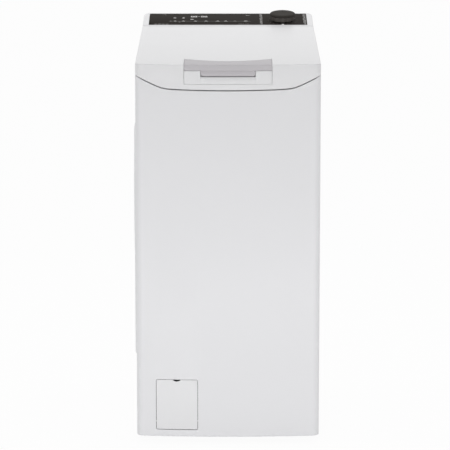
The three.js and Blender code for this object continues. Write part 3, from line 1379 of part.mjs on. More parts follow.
function damperRod() {
  const low = DAMPER_PIN_LOW + 12 + 30;
  const gap = DAMPER_ROD + 4;
  return join(
    rodZ(0, 0, DAMPER_ROD, low, DAMPER_TOP, 12),
    rodZ(0, 0, DAMPER_BORE - RUNNING, low, low + 12, 12),
    rodX(0, DAMPER_TOP, 9, -gap + RUNNING, gap - RUNNING, 12),
    rodX(0, DAMPER_TOP, DAMPER_PIN, -gap - 5, gap + 5, 12),
  );
}

// The bellows between the tub's mouth and the loading opening.
function gasket() {
  const low = COLLAR_TOP + FIT;
  const high = THROAT_BOTTOM - FIT;
  const third = (high - low) / 3;
  const wall = COLLAR_WALL;
  const fold = 11;
  const radius = THROAT_RADIUS;
  const ring = (halfA, halfB, outA, outB, from, to) =>
    cut(
      prismZ(roundedRectangle(outA, outB, radius + outA - halfA), from, to),
      prismZ(roundedRectangle(halfA, halfB, radius), from - 1, to + 1),
    );
  const lower = ring(COLLAR_X, COLLAR_Y, COLLAR_X + wall, COLLAR_Y + wall, low, low + third);
  const folded = [COLLAR_X + fold, COLLAR_Y + fold];
  const bottom = low + third;
  const top = high - third;
  const shelfLow = ring(COLLAR_X, COLLAR_Y, ...folded, bottom - 2, bottom);
  const wide = ring(COLLAR_X + fold - wall, COLLAR_Y + fold - wall, ...folded, bottom - 2, top + 2);
  const shelfHigh = ring(THROAT_X, THROAT_Y, THROAT_X + wall + 1, THROAT_Y + wall + 3, top, top + 2);
  const upper = ring(THROAT_X, THROAT_Y, THROAT_X + wall, THROAT_Y + wall, top, high);
  return join(lower, shelfLow, wide, shelfHigh, upper);
}

// ---------------------------------------------------------------- feet, drain, water and electrics

function foot() {
  return join(
    rodZ(0, 0, FOOT_RADIUS, 0, FOOT_PAD, 16),
    rodZ(0, 0, FOOT_STUD + 5, FOOT_PAD - 1, trayBottom - FIT, 6),
    rodZ(0, 0, FOOT_STUD, FOOT_PAD, FOOT_STUD_TOP, 12),
  );
}

function pumpHousing() {
  const bore = PUMP_RADIUS - PUMP_WALL;
  const wallAt = pumpBack - PUMP_CHAMBER;
  const spout = rodZ(PUMP_X, SPOUT_Y, SPOUT_RADIUS, PUMP_HEIGHT, PUMP_HEIGHT + PUMP_RADIUS + 14, 16);
  const spoutBore = rodZ(
    PUMP_X, SPOUT_Y, SPOUT_RADIUS - SPOUT_WALL, PUMP_HEIGHT, PUMP_HEIGHT + PUMP_RADIUS + 15, 24,
  );
  const outletY = pumpBack - PUMP_CHAMBER / 2;
  const outletEnd = PUMP_X - PUMP_RADIUS - 12;
  const outlet = rodX(outletY, PUMP_HEIGHT, DRAIN_RADIUS, outletEnd, PUMP_X, 16);
  const outletBore = rodX(outletY, PUMP_HEIGHT, DRAIN_RADIUS - 2.5, outletEnd - 1, PUMP_X, 16);
  const tube = rodY(PUMP_X, PUMP_HEIGHT, PUMP_RADIUS, pumpFront, pumpBack, 28);
  return cut(
    join(tube, spout, outlet),
    rodY(PUMP_X, PUMP_HEIGHT, bore, pumpFront - 1, wallAt, 28),
    rodY(PUMP_X, PUMP_HEIGHT, bore * 0.6, wallAt - 1, wallAt + 5, 22),
    rodY(PUMP_X, PUMP_HEIGHT, bore - 2, wallAt + 4, pumpBack + 1, 28),
    spoutBore,
    outletBore,
  );
}

function pumpMotor() {
  const start = pumpBack + FIT;
  return join(
    rodY(PUMP_X, PUMP_HEIGHT, PUMP_RADIUS, start, start + 6, 28),
    rodY(PUMP_X, PUMP_HEIGHT, PUMP_MOTOR_RADIUS, start + 5, start + PUMP_MOTOR_LENGTH, 22),
    box(PUMP_X - 12, PUMP_X + 12, start + 12, start + 40, PUMP_HEIGHT + 20, PUMP_HEIGHT + PUMP_RADIUS),
  );
}

// The filter's cap with its grip and the lint filter behind it, about its own axis.
function filterCap() {
  const plug = PUMP_RADIUS - PUMP_WALL - RUNNING;
  const face = pumpFront - FIT;
  const disc = rodY(0, 0, PUMP_RADIUS, face - CAP_THICKNESS, face, 28);
  const stopper = rodY(0, 0, plug, face - 1, face + 14, 28);
  const grip = box(-4, 4, face - CAP_THICKNESS - CAP_GRIP, face - 1, -PUMP_RADIUS + 4, PUMP_RADIUS - 4);
  const end = pumpBack - PUMP_CHAMBER - 6;
  const fins = [0, 1].map((i) => {
    const across = i ? plug - 2 : 1.2;
    const tall = i ? 1.2 : plug - 2;
    return box(-across, across, face + 13, end, -tall, tall);
  });
  return join(disc, stopper, grip, ...fins);
}

function sumpHose() {
  const low = PUMP_HEIGHT + PUMP_RADIUS + 14 + FIT;
  const high = SUMP_HEIGHT - FIT;
  const rise = high - low;
  const lean = SUMP_Y - SPOUT_Y;
  const points = [
    [PUMP_X, SPOUT_Y, low],
    [PUMP_X, SPOUT_Y + lean * 0.1, low + rise * 0.28],
    [PUMP_X, SPOUT_Y + lean * 0.5, low + rise * 0.5],
    [PUMP_X, SPOUT_Y + lean * 0.9, low + rise * 0.72],
    [PUMP_X, SUMP_Y, high],
  ];
  const slice = box(-FAR, FAR, -FAR, FAR, low, high);
  return tubeAlong(points, SPOUT_RADIUS, 9, 12).intersect(slice);
}

// The drain hose runs over the tray to its moulded end in the rear panel.
function drainHose() {
  const startX = PUMP_X - PUMP_RADIUS - 12 - FIT;
  const startY = pumpBack - PUMP_CHAMBER / 2;
  const lowX = -halfBody + 25;
  const lowZ = trayFloorTop + DRAIN_RADIUS + 8;
  const endY = rearPanelInside - 12;
  const points = [
    [startX, startY, PUMP_HEIGHT],
    [lowX + 4, startY + 6, PUMP_HEIGHT - 6],
    [lowX, startY + 40, lowZ + 4],
    [lowX, 0, lowZ],
    [lowX, endY - 90, lowZ],
    [OUTLET_X - 6, endY - 34, OUTLET_HEIGHT - 10],
    [OUTLET_X, endY, OUTLET_HEIGHT],
  ];
  const within = join(box(-FAR, startX, -FAR, endY, 0, FAR), box(-FAR, FAR, 0, endY, 0, FAR));
  const hose = tubeAlong(points, DRAIN_RADIUS, 20, 8).intersect(within);
  const tube = rodY(OUTLET_X, OUTLET_HEIGHT, DRAIN_RADIUS, endY - 6, fittingsBack, 16);
  const collar = rodY(OUTLET_X, OUTLET_HEIGHT, DRAIN_RADIUS + 5, rearPanelFace + FIT, rearPanelFace + 3, 16);
  const bore = rodY(OUTLET_X, OUTLET_HEIGHT, DRAIN_RADIUS - 2.5, endY, fittingsBack + 1, 16);
  return cut(join(hose, tube, collar), bore);
}

function cordGland() {
  const face = rearPanelFace + FIT;
  const body = rodY(GLAND_X, GLAND_HEIGHT, GLAND_RADIUS, rearPanelInside - 6, face + 1, 16);
  const cap = rodY(GLAND_X, GLAND_HEIGHT, GLAND_RADIUS + 5, face, face + 3, 16);
  const nose = solid(
    cone(GLAND_RADIUS, GLAND_BORE + 2.5, face + 2, fittingsBack, 16).translate(GLAND_X, 0, GLAND_HEIGHT),
  );
  const bore = rodY(GLAND_X, GLAND_HEIGHT, GLAND_BORE, rearPanelInside - 7, fittingsBack + 1, 16);
  return cut(join(body, cap, nose), bore);
}

const valveBack = rearPanelInside - FIT;

function inletValve() {
  const x = VALVE_X;
  const z = VALVE_HEIGHT;
  return join(
    box(x - 17, x + 17, valveBack - 34, valveBack, z - 15, z + 15),
    rodY(x, z, VALVE_THREAD, valveBack - 1, fittingsBack, 16),
    rodZ(x, valveBack - 17, 13, z + 14, z + 38, 16),
    rodX(valveBack - 17, z, HOSE_RADIUS, x - 30, x - 16, 20),
  );
}

function inletHose() {
  const startX = VALVE_X - 30 - FIT;
  const startY = valveBack - 17;
  const endY = THROAT_Y + 26 + FIT;
  const points = [
    [startX, startY, VALVE_HEIGHT],
    [startX - 22, startY - 4, VALVE_HEIGHT + 1],
    [SPRAY_X + 3, startY - 40, VALVE_HEIGHT + 5],
    [SPRAY_X, endY + 22, SPRAY_HEIGHT],
    [SPRAY_X, endY, SPRAY_HEIGHT],
  ];
  const within = box(-FAR, startX, endY, FAR, 0, FAR * 2);
  return tubeAlong(points, HOSE_RADIUS, 10, 8).intersect(within);
}

function pressureSwitch() {
  const x = 150;
  const z = 660;
  const back = rearPanelInside - FIT;
  return join(
    rodY(x, z, 28, back - 24, back, 22),
    rodZ(x, back - 12, 4, z - 44, z - 26, 16),
    box(x - 20, x + 20, back - 40, back - 23, z - 9, z + 9),
  );
}

// ---------------------------------------------------------------- filter door

function filterDoor() {
  const shell = cut(prismZ(planOutline(0, 0), 0, 200), prismZ(planOutline(DOOR_THICKNESS, 1), -1, 201));
  const halfA = (DOOR_RIGHT - DOOR_LEFT) / 2 - DOOR_GAP;
  const low = DOOR_BOTTOM + DOOR_LOW_GAP;
  const high = DOOR_TOP - DOOR_GAP;
  const outline = roundedRectangle(
    halfA, (high - low) / 2, DOOR_RADIUS, (DOOR_LEFT + DOOR_RIGHT) / 2, (high + low) / 2, 3,
  );
  const panel = shell.intersect(prismY(outline, -FAR, 0));
  const centre = (DOOR_LEFT + DOOR_RIGHT) / 2 - 1.9;
  const notch = rodY(centre, high + NOTCH_RADIUS - NOTCH_DEPTH, NOTCH_RADIUS, -FAR, 0, 22);
  const ends = [DOOR_LEFT + DOOR_GAP + 1, DOOR_RIGHT - DOOR_GAP - 1 - DOOR_CHEEK];
  const cheeks = ends.map((x) => doorCheek(x, x + DOOR_CHEEK));
  const pinEnds = [
    [doorLugLeft - DOOR_POST / 2, DOOR_LEFT + DOOR_GAP + 2],
    [DOOR_RIGHT - DOOR_GAP - 2, doorLugRight + DOOR_POST / 2],
  ];
  const pins = pinEnds.map(([from, to]) => rodX(doorHingeY, doorHingeZ, DOOR_PIN, from, to, 16));
  return join(cut(panel, notch), ...cheeks, ...pins);
}

function doorCheek(from, to) {
  const radius = DOOR_PIN + 2;
  const face = bowAt((from + to) / 2) + DOOR_THICKNESS - 1;
  const plate = box(from, to, face, doorHingeY, doorHingeZ - radius, doorHingeZ + radius);
  return join(plate, rodX(doorHingeY, doorHingeZ, radius, from, to, 20));
}

// ---------------------------------------------------------------- the machine

function buildCabinet() {
  piece(machine, "front_panel", frontPanel(), WHITE_STEEL);
  piece(machine, "side_panel_left", leftPanel(), WHITE_STEEL);
  piece(machine, "side_panel_right", rightPanel(), WHITE_STEEL);
  piece(machine, "rear_panel", rearPanel(), ZINC);
  piece(machine, "base_tray", baseTray(), DARK_PLASTIC);
  piece(machine, "top_frame", topFrame(), WHITE_PLASTIC);
  piece(machine, "console_housing", consoleHousing(), WHITE_PLASTIC);
  piece(machine, "door_lock", doorLock(), DARK_PLASTIC);
  piece(machine, "filter_door", filterDoor(), WHITE_PLASTIC);
  footPlaces.forEach((place, i) => {
    piece(machine, `levelling_foot_${i + 1}`, foot(), RUBBER_BLACK, [...place, 0]);
  });
}

function buildPanel() {
  const panel = subgroup(machine, [0, CONSOLE_FRONT, lidTop(CONSOLE_FRONT)]);
  panel.rotation.x = PANEL_SLOPE;
  piece(panel, "control_fascia", fascia(), FASCIA_BLACK);
  piece(panel, "control_board", controlBoard(), BOARD_GREEN);
  piece(panel, "program_knob", knob(), KNOB_BLACK, [KNOB_X, KNOB_ALONG, 0]);
}

function buildLid() {
  piece(machine, "lid_shell", lidShell(), WHITE_PLASTIC);
  piece(machine, "lid_liner", lidLiner(), WHITE_PLASTIC);
  piece(machine, "detergent_dispenser", dispenser(), DISPENSER_BLUE);
  piece(machine, "handle_bezel", handleBezel(), WHITE_PLASTIC);
  piece(machine, "handle_lever", handleLever(), HANDLE_GREY);
  piece(machine, "lid_hinge_pin_left", hingePin(-1), STAINLESS);
  piece(machine, "lid_hinge_pin_right", hingePin(1), STAINLESS);
}

function buildTub() {
  const tub = subgroup(machine, [0, 0, AXIS_HEIGHT]);
  piece(tub, "tub_half_left", tubHalf(-1), TUB_PLASTIC);
  piece(tub, "tub_half_right", tubHalf(1), TUB_PLASTIC);
  piece(tub, "counterweight_front", counterweight(-1), CONCRETE);
  piece(tub, "counterweight_rear", counterweight(1), CONCRETE);
  piece(tub, "heating_element", heater(), STAINLESS);
  piece(tub, "drum_bearing_left", bearing(-1), STAINLESS);
  piece(tub, "drum_bearing_right", bearing(1), STAINLESS);
  piece(tub, "drive_motor", motorHousing(), MOTOR_STEEL, [0, MOTOR_Y, motorZ]);
  piece(tub, "motor_rotor", motorRotor(), ZINC, [0, MOTOR_Y, motorZ]);
  piece(tub, "drive_belt", belt(), RUBBER_BLACK);
  return tub;
}

function buildDrum(tub) {
  piece(tub, "drum_shell", drumShell(), STAINLESS);
  piece(tub, "drum_lifter_front", lifter(-1), TUB_PLASTIC);
  piece(tub, "drum_lifter_rear", lifter(1), TUB_PLASTIC);
  piece(tub, "drum_shaft_left", drumShaft(-1), ZINC);
  piece(tub, "drum_shaft_right", drumShaft(1), ZINC);
  piece(tub, "drum_pulley", drumPulley(), ZINC);
  piece(tub, "drum_flap_front", drumFlap(-1), STAINLESS);
  piece(tub, "drum_flap_rear", drumFlap(1), STAINLESS);
  piece(tub, "flap_catch", flapCatch(), DARK_PLASTIC);
}

function buildSuspension() {
  const corners = [
    ["front_left", -1, -1],
    ["front_right", 1, -1],
    ["rear_left", -1, 1],
    ["rear_right", 1, 1],
  ];
  for (const [name, sideX, sideY] of corners) {
    piece(machine, `tub_spring_${name}`, spring(), ZINC, [sideX * SPRING_X, sideY * SPRING_Y, 0]);
  }
  [["front", -DAMPER_Y], ["rear", DAMPER_Y]].forEach(([name, y]) => {
    piece(machine, `damper_cylinder_${name}`, damperCylinder(), DARK_PLASTIC, [DAMPER_X, y, 0]);
    piece(machine, `damper_rod_${name}`, damperRod(), ZINC, [DAMPER_X, y, 0]);
  });
  piece(machine, "mouth_gasket", gasket(), RUBBER_GREY);
}

function buildServices() {
  piece(machine, "drain_pump_housing", pumpHousing(), TUB_PLASTIC);
  piece(machine, "drain_pump_motor", pumpMotor(), MOTOR_STEEL);
  piece(machine, "filter_cap", filterCap(), DARK_PLASTIC, [PUMP_X, 0, PUMP_HEIGHT]);
  piece(machine, "sump_hose", sumpHose(), RUBBER_BLACK);
  piece(machine, "drain_hose", drainHose(), RUBBER_GREY);
  piece(machine, "cord_gland", cordGland(), RUBBER_BLACK);
  piece(machine, "inlet_valve", inletValve(), WHITE_PLASTIC);
  piece(machine, "inlet_hose", inletHose(), RUBBER_BLACK);
  piece(machine, "pressure_switch", pressureSwitch(), DARK_PLASTIC);
}

buildCabinet();
buildPanel();
buildLid();
buildDrum(buildTub());
buildSuspension();
buildServices();

export default machine;
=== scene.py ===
"""Looks of a narrow top load washing machine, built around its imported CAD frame.

Every length is in metres, in the frame's own axes: +Z up, the front towards -Y. A shape is a pair
of points and faces. Shapes are made about the machine's middle plane and are brought to its place
when their object is made.
"""

from math import atan2, cos, pi, radians, sin, sqrt, tan

import bmesh
import bpy
import numpy as np
from mathutils import Matrix, Vector


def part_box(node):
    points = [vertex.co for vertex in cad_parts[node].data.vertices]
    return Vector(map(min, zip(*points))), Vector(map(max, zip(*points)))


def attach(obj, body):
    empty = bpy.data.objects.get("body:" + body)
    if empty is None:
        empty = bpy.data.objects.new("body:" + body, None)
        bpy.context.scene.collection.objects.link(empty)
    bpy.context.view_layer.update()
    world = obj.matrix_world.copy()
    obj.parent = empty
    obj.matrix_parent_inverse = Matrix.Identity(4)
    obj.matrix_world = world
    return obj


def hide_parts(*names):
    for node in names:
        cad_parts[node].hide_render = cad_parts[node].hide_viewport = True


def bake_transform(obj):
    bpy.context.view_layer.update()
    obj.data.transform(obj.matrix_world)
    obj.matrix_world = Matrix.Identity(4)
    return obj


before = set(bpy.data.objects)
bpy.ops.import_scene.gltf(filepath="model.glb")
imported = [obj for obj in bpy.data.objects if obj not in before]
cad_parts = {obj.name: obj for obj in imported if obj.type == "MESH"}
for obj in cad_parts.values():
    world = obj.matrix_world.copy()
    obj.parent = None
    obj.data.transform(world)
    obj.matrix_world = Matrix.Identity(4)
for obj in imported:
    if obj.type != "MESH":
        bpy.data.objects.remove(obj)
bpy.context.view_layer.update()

# ---------------------------------------------------------------- sizes


def span(low, high):
    """Middle and half width of a stretch."""
    return (low + high) / 2, (high - low) / 2


MM = 0.001
FLAT = radians(0.6)  # faces that meet at less than this count as one
SIDES = (-1, 1)
PANEL_LOW, PANEL_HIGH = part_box("front_panel")
MIDDLE, HALF = span(PANEL_LOW.x, PANEL_HIGH.x)
FRONT = PANEL_LOW.y
FLOOR_GAP = PANEL_LOW.z
SIDE_START, SIDE_BACK = (corner.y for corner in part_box("side_panel_left"))
SHEET = 1.2 * MM
EDGE_ROLL = 2 * MM
BOW_RADIUS = 1.7
CORNER_RADIUS = 16 * MM
SWELL_HEIGHT = 0.514
REAR_BEADS = (-136 * MM, -68 * MM, 0.0, 68 * MM, 136 * MM)
REAR_FIELD = (0.170, 0.640)
REAR_BROW, REAR_FOOT = 0.757, 0.105
REAR_HOLES = (  # X, Z, radius
    (150 * MM, 0.120, 16.3 * MM), (-150 * MM, 0.074, 12.3 * MM), (120 * MM, 0.790, 13.5 * MM),
)

LID_SLOPE = radians(5.2)
LID_RISE = tan(LID_SLOPE)
FOLD_HEIGHT = 0.824
SEAM_GAP = 1.85 * MM
SEAM_LOW = 0.7693
SEAM_BOW = 0.16
SEAM_KINK = 0.140
SEAM_RISE = 0.43
SEAM_BLEND = 10 * MM
SIDE_SKIRT = 26 * MM
LID_WALL = 3 * MM
LID_EDGE = 1.3 * MM
LID_SIDE_EDGE = 3.4 * MM
LID_NOSE = 14.2 * MM
HINGE_Y = 0.171
HINGE_DROP = 11.5 * MM
DECK_DROP = 35 * MM
LINER_DROP = 20 * MM

PANEL_SLOPE = radians(10.6)
CONSOLE_FRONT, CONSOLE_BACK = (corner.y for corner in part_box("console_housing"))
CONSOLE_RADIUS = 14 * MM
CONSOLE_EDGE = 4 * MM
LIP_ROUND = 3.6 * MM
LIP_ANGLE = 32  # from level, seen from the hinge; the lid opens to 100 degrees in front of it
FASCIA_HALF = 183.5 * MM
FASCIA_START = 4.8 * MM
FASCIA_DEPTH = 100.2 * MM
KNOB_X = 127 * MM
KNOB_ALONG = 44.4 * MM
FLUTES = 10
FLUTE_DEPTH = 2.4 * MM

HANDLE_HALF = 93.3 * MM
HANDLE_PROUD = 0.8 * MM
HANDLE_GAP = 0.45 * MM
HANDLE_SWING = 0.8 * MM
HANDLE_BACK_MIDDLE = 42.5 * MM
HANDLE_BACK_END = 68 * MM
BAR_BOTTOM = 0.8118
TAB_BOTTOM = 0.8002
TAB_HALF = 58.1 * MM
BEZEL_BOTTOM = 0.7831
BEZEL_TOP = 0.8115
BEZEL_HALF = 93.2 * MM
POCKET_HALF = 58.5 * MM
POCKET_LIP = 0.7896
POCKET_DEPTH = 15 * MM
POCKET_RISE = 9.2 * MM
POCKET_RAMP = 4.2 * MM

DOOR_X, DOOR_HALF = span(-155.8 * MM, -65 * MM)
DOOR_Z, DOOR_HALF_HEIGHT = span(0.0309, 0.1425)
DOOR_CORNER = 4 * MM
DOOR_GAP = 0.9 * MM
DOOR_LOW_GAP = 1.3 * MM
NOTCH_RADIUS = 13.2 * MM
NOTCH_DEPTH = 3.6 * MM

DRUM_SHEET = 1.0 * MM
DRUM_HOLE = 2.6 * MM
DRUM_PITCH = 15 * MM
DRUM_RIM = 8 * MM
FLAP_ANGLE = radians(24)
FLAP_WINDOW = 114.7 * MM
SPRING_WIRE = 1.6 * MM
GASKET_FOLD = 12 * MM
THROAT_CORNER = 32 * MM

SWEEP_GLOW = 0.955  # the floor's share of plain white
SKY_LIGHT = 0.67


def lid_top(y):
    return FOLD_HEIGHT + LID_RISE * (y - FRONT)


def side_seam(y):
    return lid_top(y) - SIDE_SKIRT


def seam(x):
    """Height of the seam between lid and front panel: nearly level, turning up to the corners."""
    past = abs(x) - SEAM_KINK
    return SEAM_LOW + SEAM_BOW * x * x + SEAM_RISE * (np.hypot(past, SEAM_BLEND) + past) / 2


def bow(x):
    """Y of the front's bowed surface."""
    return FRONT + BOW_RADIUS - np.sqrt(BOW_RADIUS**2 - x * x)


def handle_back(x):
    rise = HANDLE_BACK_END - HANDLE_BACK_MIDDLE
    return FRONT + HANDLE_BACK_MIDDLE + rise * (x / HANDLE_HALF) ** 2


def smooth(t):
    t = np.clip(t, 0.0, 1.0)
    return t * t * (3 - 2 * t)


HINGE_Z = lid_top(HINGE_Y) - HINGE_DROP
PIVOT_Y = FRONT + 56 * MM  # the handle's pins
PIVOT_Z = lid_top(PIVOT_Y) - 7 * MM
PANEL_ORIGIN = Vector((0, CONSOLE_FRONT, lid_top(CONSOLE_FRONT)))
PANEL_TILT = Matrix.Translation(PANEL_ORIGIN) @ Matrix.Rotation(PANEL_SLOPE, 4, "X")

# ---------------------------------------------------------------- objects

SOFT = "soft"  # for a piece that bends between the cabinet and the tub, and so rides on neither


def linked(name, data):
    obj = bpy.data.objects.new(name, data)
    bpy.context.scene.collection.objects.link(obj)
    return obj


def mesh_of(name, shape):
    verts, faces = shape
    mesh = bpy.data.meshes.new(name)
    mesh.from_pydata([(x + MIDDLE, y, z) for x, y, z in verts], [], faces)
    return mesh


def weld(mesh, reach, flatten=False):
    """Joins points closer than reach, makes flat faces whole if asked, and turns faces outward."""
    bm = bmesh.new()
    bm.from_mesh(mesh)
    bmesh.ops.remove_doubles(bm, verts=bm.verts, dist=reach)
    if flatten:
        bmesh.ops.dissolve_limit(
            bm, angle_limit=FLAT, verts=bm.verts, edges=bm.edges, use_dissolve_boundaries=False
        )
    bmesh.ops.recalc_face_normals(bm, faces=bm.faces)
    bm.to_mesh(mesh)
    bm.free()


def paint(mesh, material):
    mesh.materials.clear()
    mesh.materials.append(material)


def new_piece(name, shape, body, material, replaces=None, sharp=32):
    """One object riding on a body, from a mesh or from a shape about the middle plane."""
    mesh = shape if isinstance(shape, bpy.types.Mesh) else mesh_of(name, shape)
    weld(mesh, 1e-6)
    obj = linked(name, mesh)
    paint(mesh, material)
    shade(obj, sharp)
    if body != SOFT:
        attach(obj, body)
    if replaces:
        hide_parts(replaces)
    return obj


def refined(node, body, material, width):
    """A CAD node's shape with its flat faces made whole and its edges rounded."""
    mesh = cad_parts[node].data.copy()
    weld(mesh, 2e-6, flatten=True)
    obj = new_piece(node + "_finished", mesh, body, material, node)
    bevel(obj, width, 2, 40)
    shade(obj, 34)


def bend(obj):
    """Bakes obj's placement into its mesh; the piece rides on no body."""
    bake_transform(obj)


def shade(obj, angle):
    """Smooth shading with edges sharper than the angle kept."""
    mesh = obj.data
    mesh.polygons.foreach_set("use_smooth", [True] * len(mesh.polygons))
    mesh.set_sharp_from_angle(angle=radians(angle))


def modify(obj, kind, **settings):
    """Gives obj's mesh what one modifier makes of it."""
    mod = obj.modifiers.new(kind.lower(), kind)
    for key, value in settings.items():
        setattr(mod, key, value)
    graph = bpy.context.evaluated_depsgraph_get()
    mesh = bpy.data.meshes.new_from_object(obj.evaluated_get(graph))
    obj.modifiers.clear()
    old = obj.data
    obj.data = mesh
    bpy.data.meshes.remove(old)


def solidify(obj, thickness, offset=-1):
    modify(obj, "SOLIDIFY", thickness=thickness, offset=offset, use_even_offset=True)


def bevel(obj, width, segments=3, angle=50):
    modify(
        obj, "BEVEL", width=width, segments=segments, limit_method="ANGLE",
        angle_limit=radians(angle), use_clamp_overlap=True,
    )


def carve(obj, *shapes, operation="DIFFERENCE"):
    """Cuts shapes out of obj, or keeps what lies inside them."""
    for shape in shapes:
        mesh = mesh_of("tool", shape)
        weld(mesh, 1e-7)
        tool = linked("tool", mesh)
        modify(obj, "BOOLEAN", operation=operation, solver="EXACT", object=tool)
        bpy.data.objects.remove(tool)
        bpy.data.meshes.remove(mesh)


# ---------------------------------------------------------------- shapes

ALONG = {
    "x": lambda a, b, c: (c, a, b),
    "y": lambda a, b, c: (a, c, b),
    "z": lambda a, b, c: (a, b, c),
}


def quarter(steps):
    """Sine and cosine of the angles over a quarter turn."""
    return [(sin(pi / 2 * k / steps), cos(pi / 2 * k / steps)) for k in range(steps + 1)]


def arc(a, b, radius, start, end, steps):
    """Points on an arc about (a, b), angles in degrees."""
    angles = [radians(start + (end - start) * i / steps) for i in range(steps + 1)]
    return [(a + radius * cos(angle), b + radius * sin(angle)) for angle in angles]


def circle(a, b, radius, sides):
    return arc(a, b, radius, 0, 360 - 360 / sides, sides - 1)


def rectangle(a0, a1, b0, b1):
    return [(a0, b0), (a1, b0), (a1, b1), (a0, b1)]


def from_mm(pairs, a=0.0, b=0.0):
    """Points given in millimetres from (a, b)."""
    return [(a + u * MM, b + v * MM) for u, v in pairs]


def rounded(half_a, half_b, radius, centre_a, centre_b, steps=6):
    """A rectangle with round corners, anticlockwise."""
    points = []
    for corner, (side_a, side_b) in enumerate(((1, 1), (-1, 1), (-1, -1), (1, -1))):
        a = centre_a + side_a * (half_a - radius)
        b = centre_b + side_b * (half_b - radius)
        points += arc(a, b, radius, 90 * corner, 90 * corner + 90, steps)
    return points


def loft(rows, closed=False):
    """A surface through rows of as many points each."""
    count = len(rows[0])
    verts = [point for row in rows for point in row]
    faces = []
    for r in range(len(rows) - 1):
        for i in range(count if closed else count - 1):
            j = (i + 1) % count
            faces.append((r * count + i, r * count + j, (r + 1) * count + j, (r + 1) * count + i))
    return verts, faces


def capped(rows):
    """A body through rows that each run round, with a flat face at both ends."""
    verts, faces = loft(rows, closed=True)
    count = len(rows[0])
    return verts, [list(range(count)), list(range(len(verts) - count, len(verts)))] + faces


def prism(points, low, high, axis="z"):
    """An outline drawn out along an axis, from low to high."""
    return capped([[ALONG[axis](a, b, level) for a, b in points] for level in (low, high)])


def turned(profile, centre=(0, 0, 0), axis="z", sides=48, flute=0.0):
    """A lathe shape from (radius, distance along the axis) pairs, with flutes if asked."""
    rows = []
    for radius, along in profile:
        row = []
        for k in range(sides):
            angle = 2 * pi * k / sides
            reach = radius - flute * (1 - abs(sin(FLUTES * angle / 2)) ** 0.7)
            point = ALONG[axis](reach * cos(angle), reach * sin(angle), along)
            row.append([p + c for p, c in zip(point, centre)])
        rows.append(row)
    return capped(rows)


def swept(path, radius, sides, ripple=0.0, pitch=1.0):
    """A round tube along points, with ripples of a depth and pitch."""
    points = [Vector(p) for p in path]
    travelled = 0.0
    rows = []
    across = Vector((0, 0, 1))
    for i, point in enumerate(points):
        ahead = (points[min(i + 1, len(points) - 1)] - points[max(i - 1, 0)]).normalized()
        across -= ahead * across.dot(ahead)
        if across.length < 1e-3:
            across = Vector((1, 0, 0)) - ahead * ahead.x
        across.normalize()
        if i:
            travelled += (point - points[i - 1]).length
        wide = radius - ripple * (0.5 - 0.5 * cos(2 * pi * travelled / pitch))
        up = ahead.cross(across)
        rows.append([tuple(point + across * a + up * b) for a, b in circle(0, 0, wide, sides)])
    return capped(rows)


def joined(*shapes):
    """Several shapes as one."""
    verts, faces = [], []
    for part_verts, part_faces in shapes:
        start = len(verts)
        verts += list(part_verts)
        faces += [[start + i for i in face] for face in part_faces]
    return verts, faces


def tilted(shape, matrix=PANEL_TILT):
    verts, faces = shape
    return [tuple(matrix @ Vector(v)) for v in verts], faces


# ---------------------------------------------------------------- materials


def add_node(tree, kind, inputs, **settings):
    """A new shader node's outputs. Each input is a value or the output that feeds it."""
    made = tree.nodes.new("ShaderNode" + kind)
    for key, value in settings.items():
        setattr(made, key, value)
    for key, value in inputs.items():
        if isinstance(value, bpy.types.NodeSocket):
            tree.links.new(value, made.inputs[key])
        else:
            made.inputs[key].default_value = value
    return made.outputs


class Shader:
    """A Principled material with a small node graph around it."""

    def __init__(self, name, color, roughness, **sockets):
        self.material = bpy.data.materials.new(name)
        self.material.use_nodes = True
        self.tree = self.material.node_tree
        self.inputs = self.tree.nodes["Principled BSDF"].inputs
        self.color, self.roughness = color, roughness
        sockets |= {"Base Color": (*color, 1), "Roughness": roughness}
        for socket, value in sockets.items():
            self.inputs[socket.replace("_", " ")].default_value = value
        self.coords = add_node(self.tree, "TexCoord", {})["Object"]

    def feed(self, socket, output):
        self.tree.links.new(output, self.inputs[socket])

    def noise(self, scale, detail, stretch=(1, 1, 1)):
        place = add_node(self.tree, "Mapping", {"Scale": stretch, "Vector": self.coords})["Vector"]
        inputs = {"Scale": scale, "Detail": detail, "Vector": place}
        return add_node(self.tree, "TexNoise", inputs)["Fac"]

    def cells(self, scale, output="Distance"):
        return add_node(self.tree, "TexVoronoi", {"Scale": scale, "Vector": self.coords})[output]

    def vary_color(self, factor, amount):
        """The base colour, made lighter and darker by a pattern."""
        shades = [[min(c * (1 + shift), 1) for c in self.color] for shift in (-amount, amount)]
        inputs = {"A": (*shades[0], 1), "B": (*shades[1], 1), "Factor": factor}
        self.feed("Base Color", add_node(self.tree, "Mix", inputs, data_type="RGBA")["Result"])

    def vary_roughness(self, factor, amount):
        low, high = self.roughness - amount, self.roughness + amount
        inputs = {"To Min": low, "To Max": high, "Value": factor}
        self.feed("Roughness", add_node(self.tree, "MapRange", inputs)["Result"])

    def bump(self, height, depth, strength):
        """Relief of a depth in millimetres; a further call lies on top of it."""
        inputs = {"Strength": strength, "Distance": depth * MM, "Height": height}
        if self.inputs["Normal"].is_linked:
            inputs["Normal"] = self.inputs["Normal"].links[0].from_socket
        self.feed("Normal", add_node(self.tree, "Bump", inputs)["Normal"])


def grained(name, color, roughness, tone, sheen, relief, **sockets):
    """A material with fine patterns in its colour, its gloss and its surface.

    tone and sheen are (scale, detail, amount), relief is (scale, detail, depth, strength).
    """
    made = Shader(name, color, roughness, **sockets)
    made.vary_color(made.noise(*tone[:2]), tone[2])
    made.vary_roughness(made.noise(*sheen[:2]), sheen[2])
    made.bump(made.noise(*relief[:2]), *relief[2:])
    return made.material


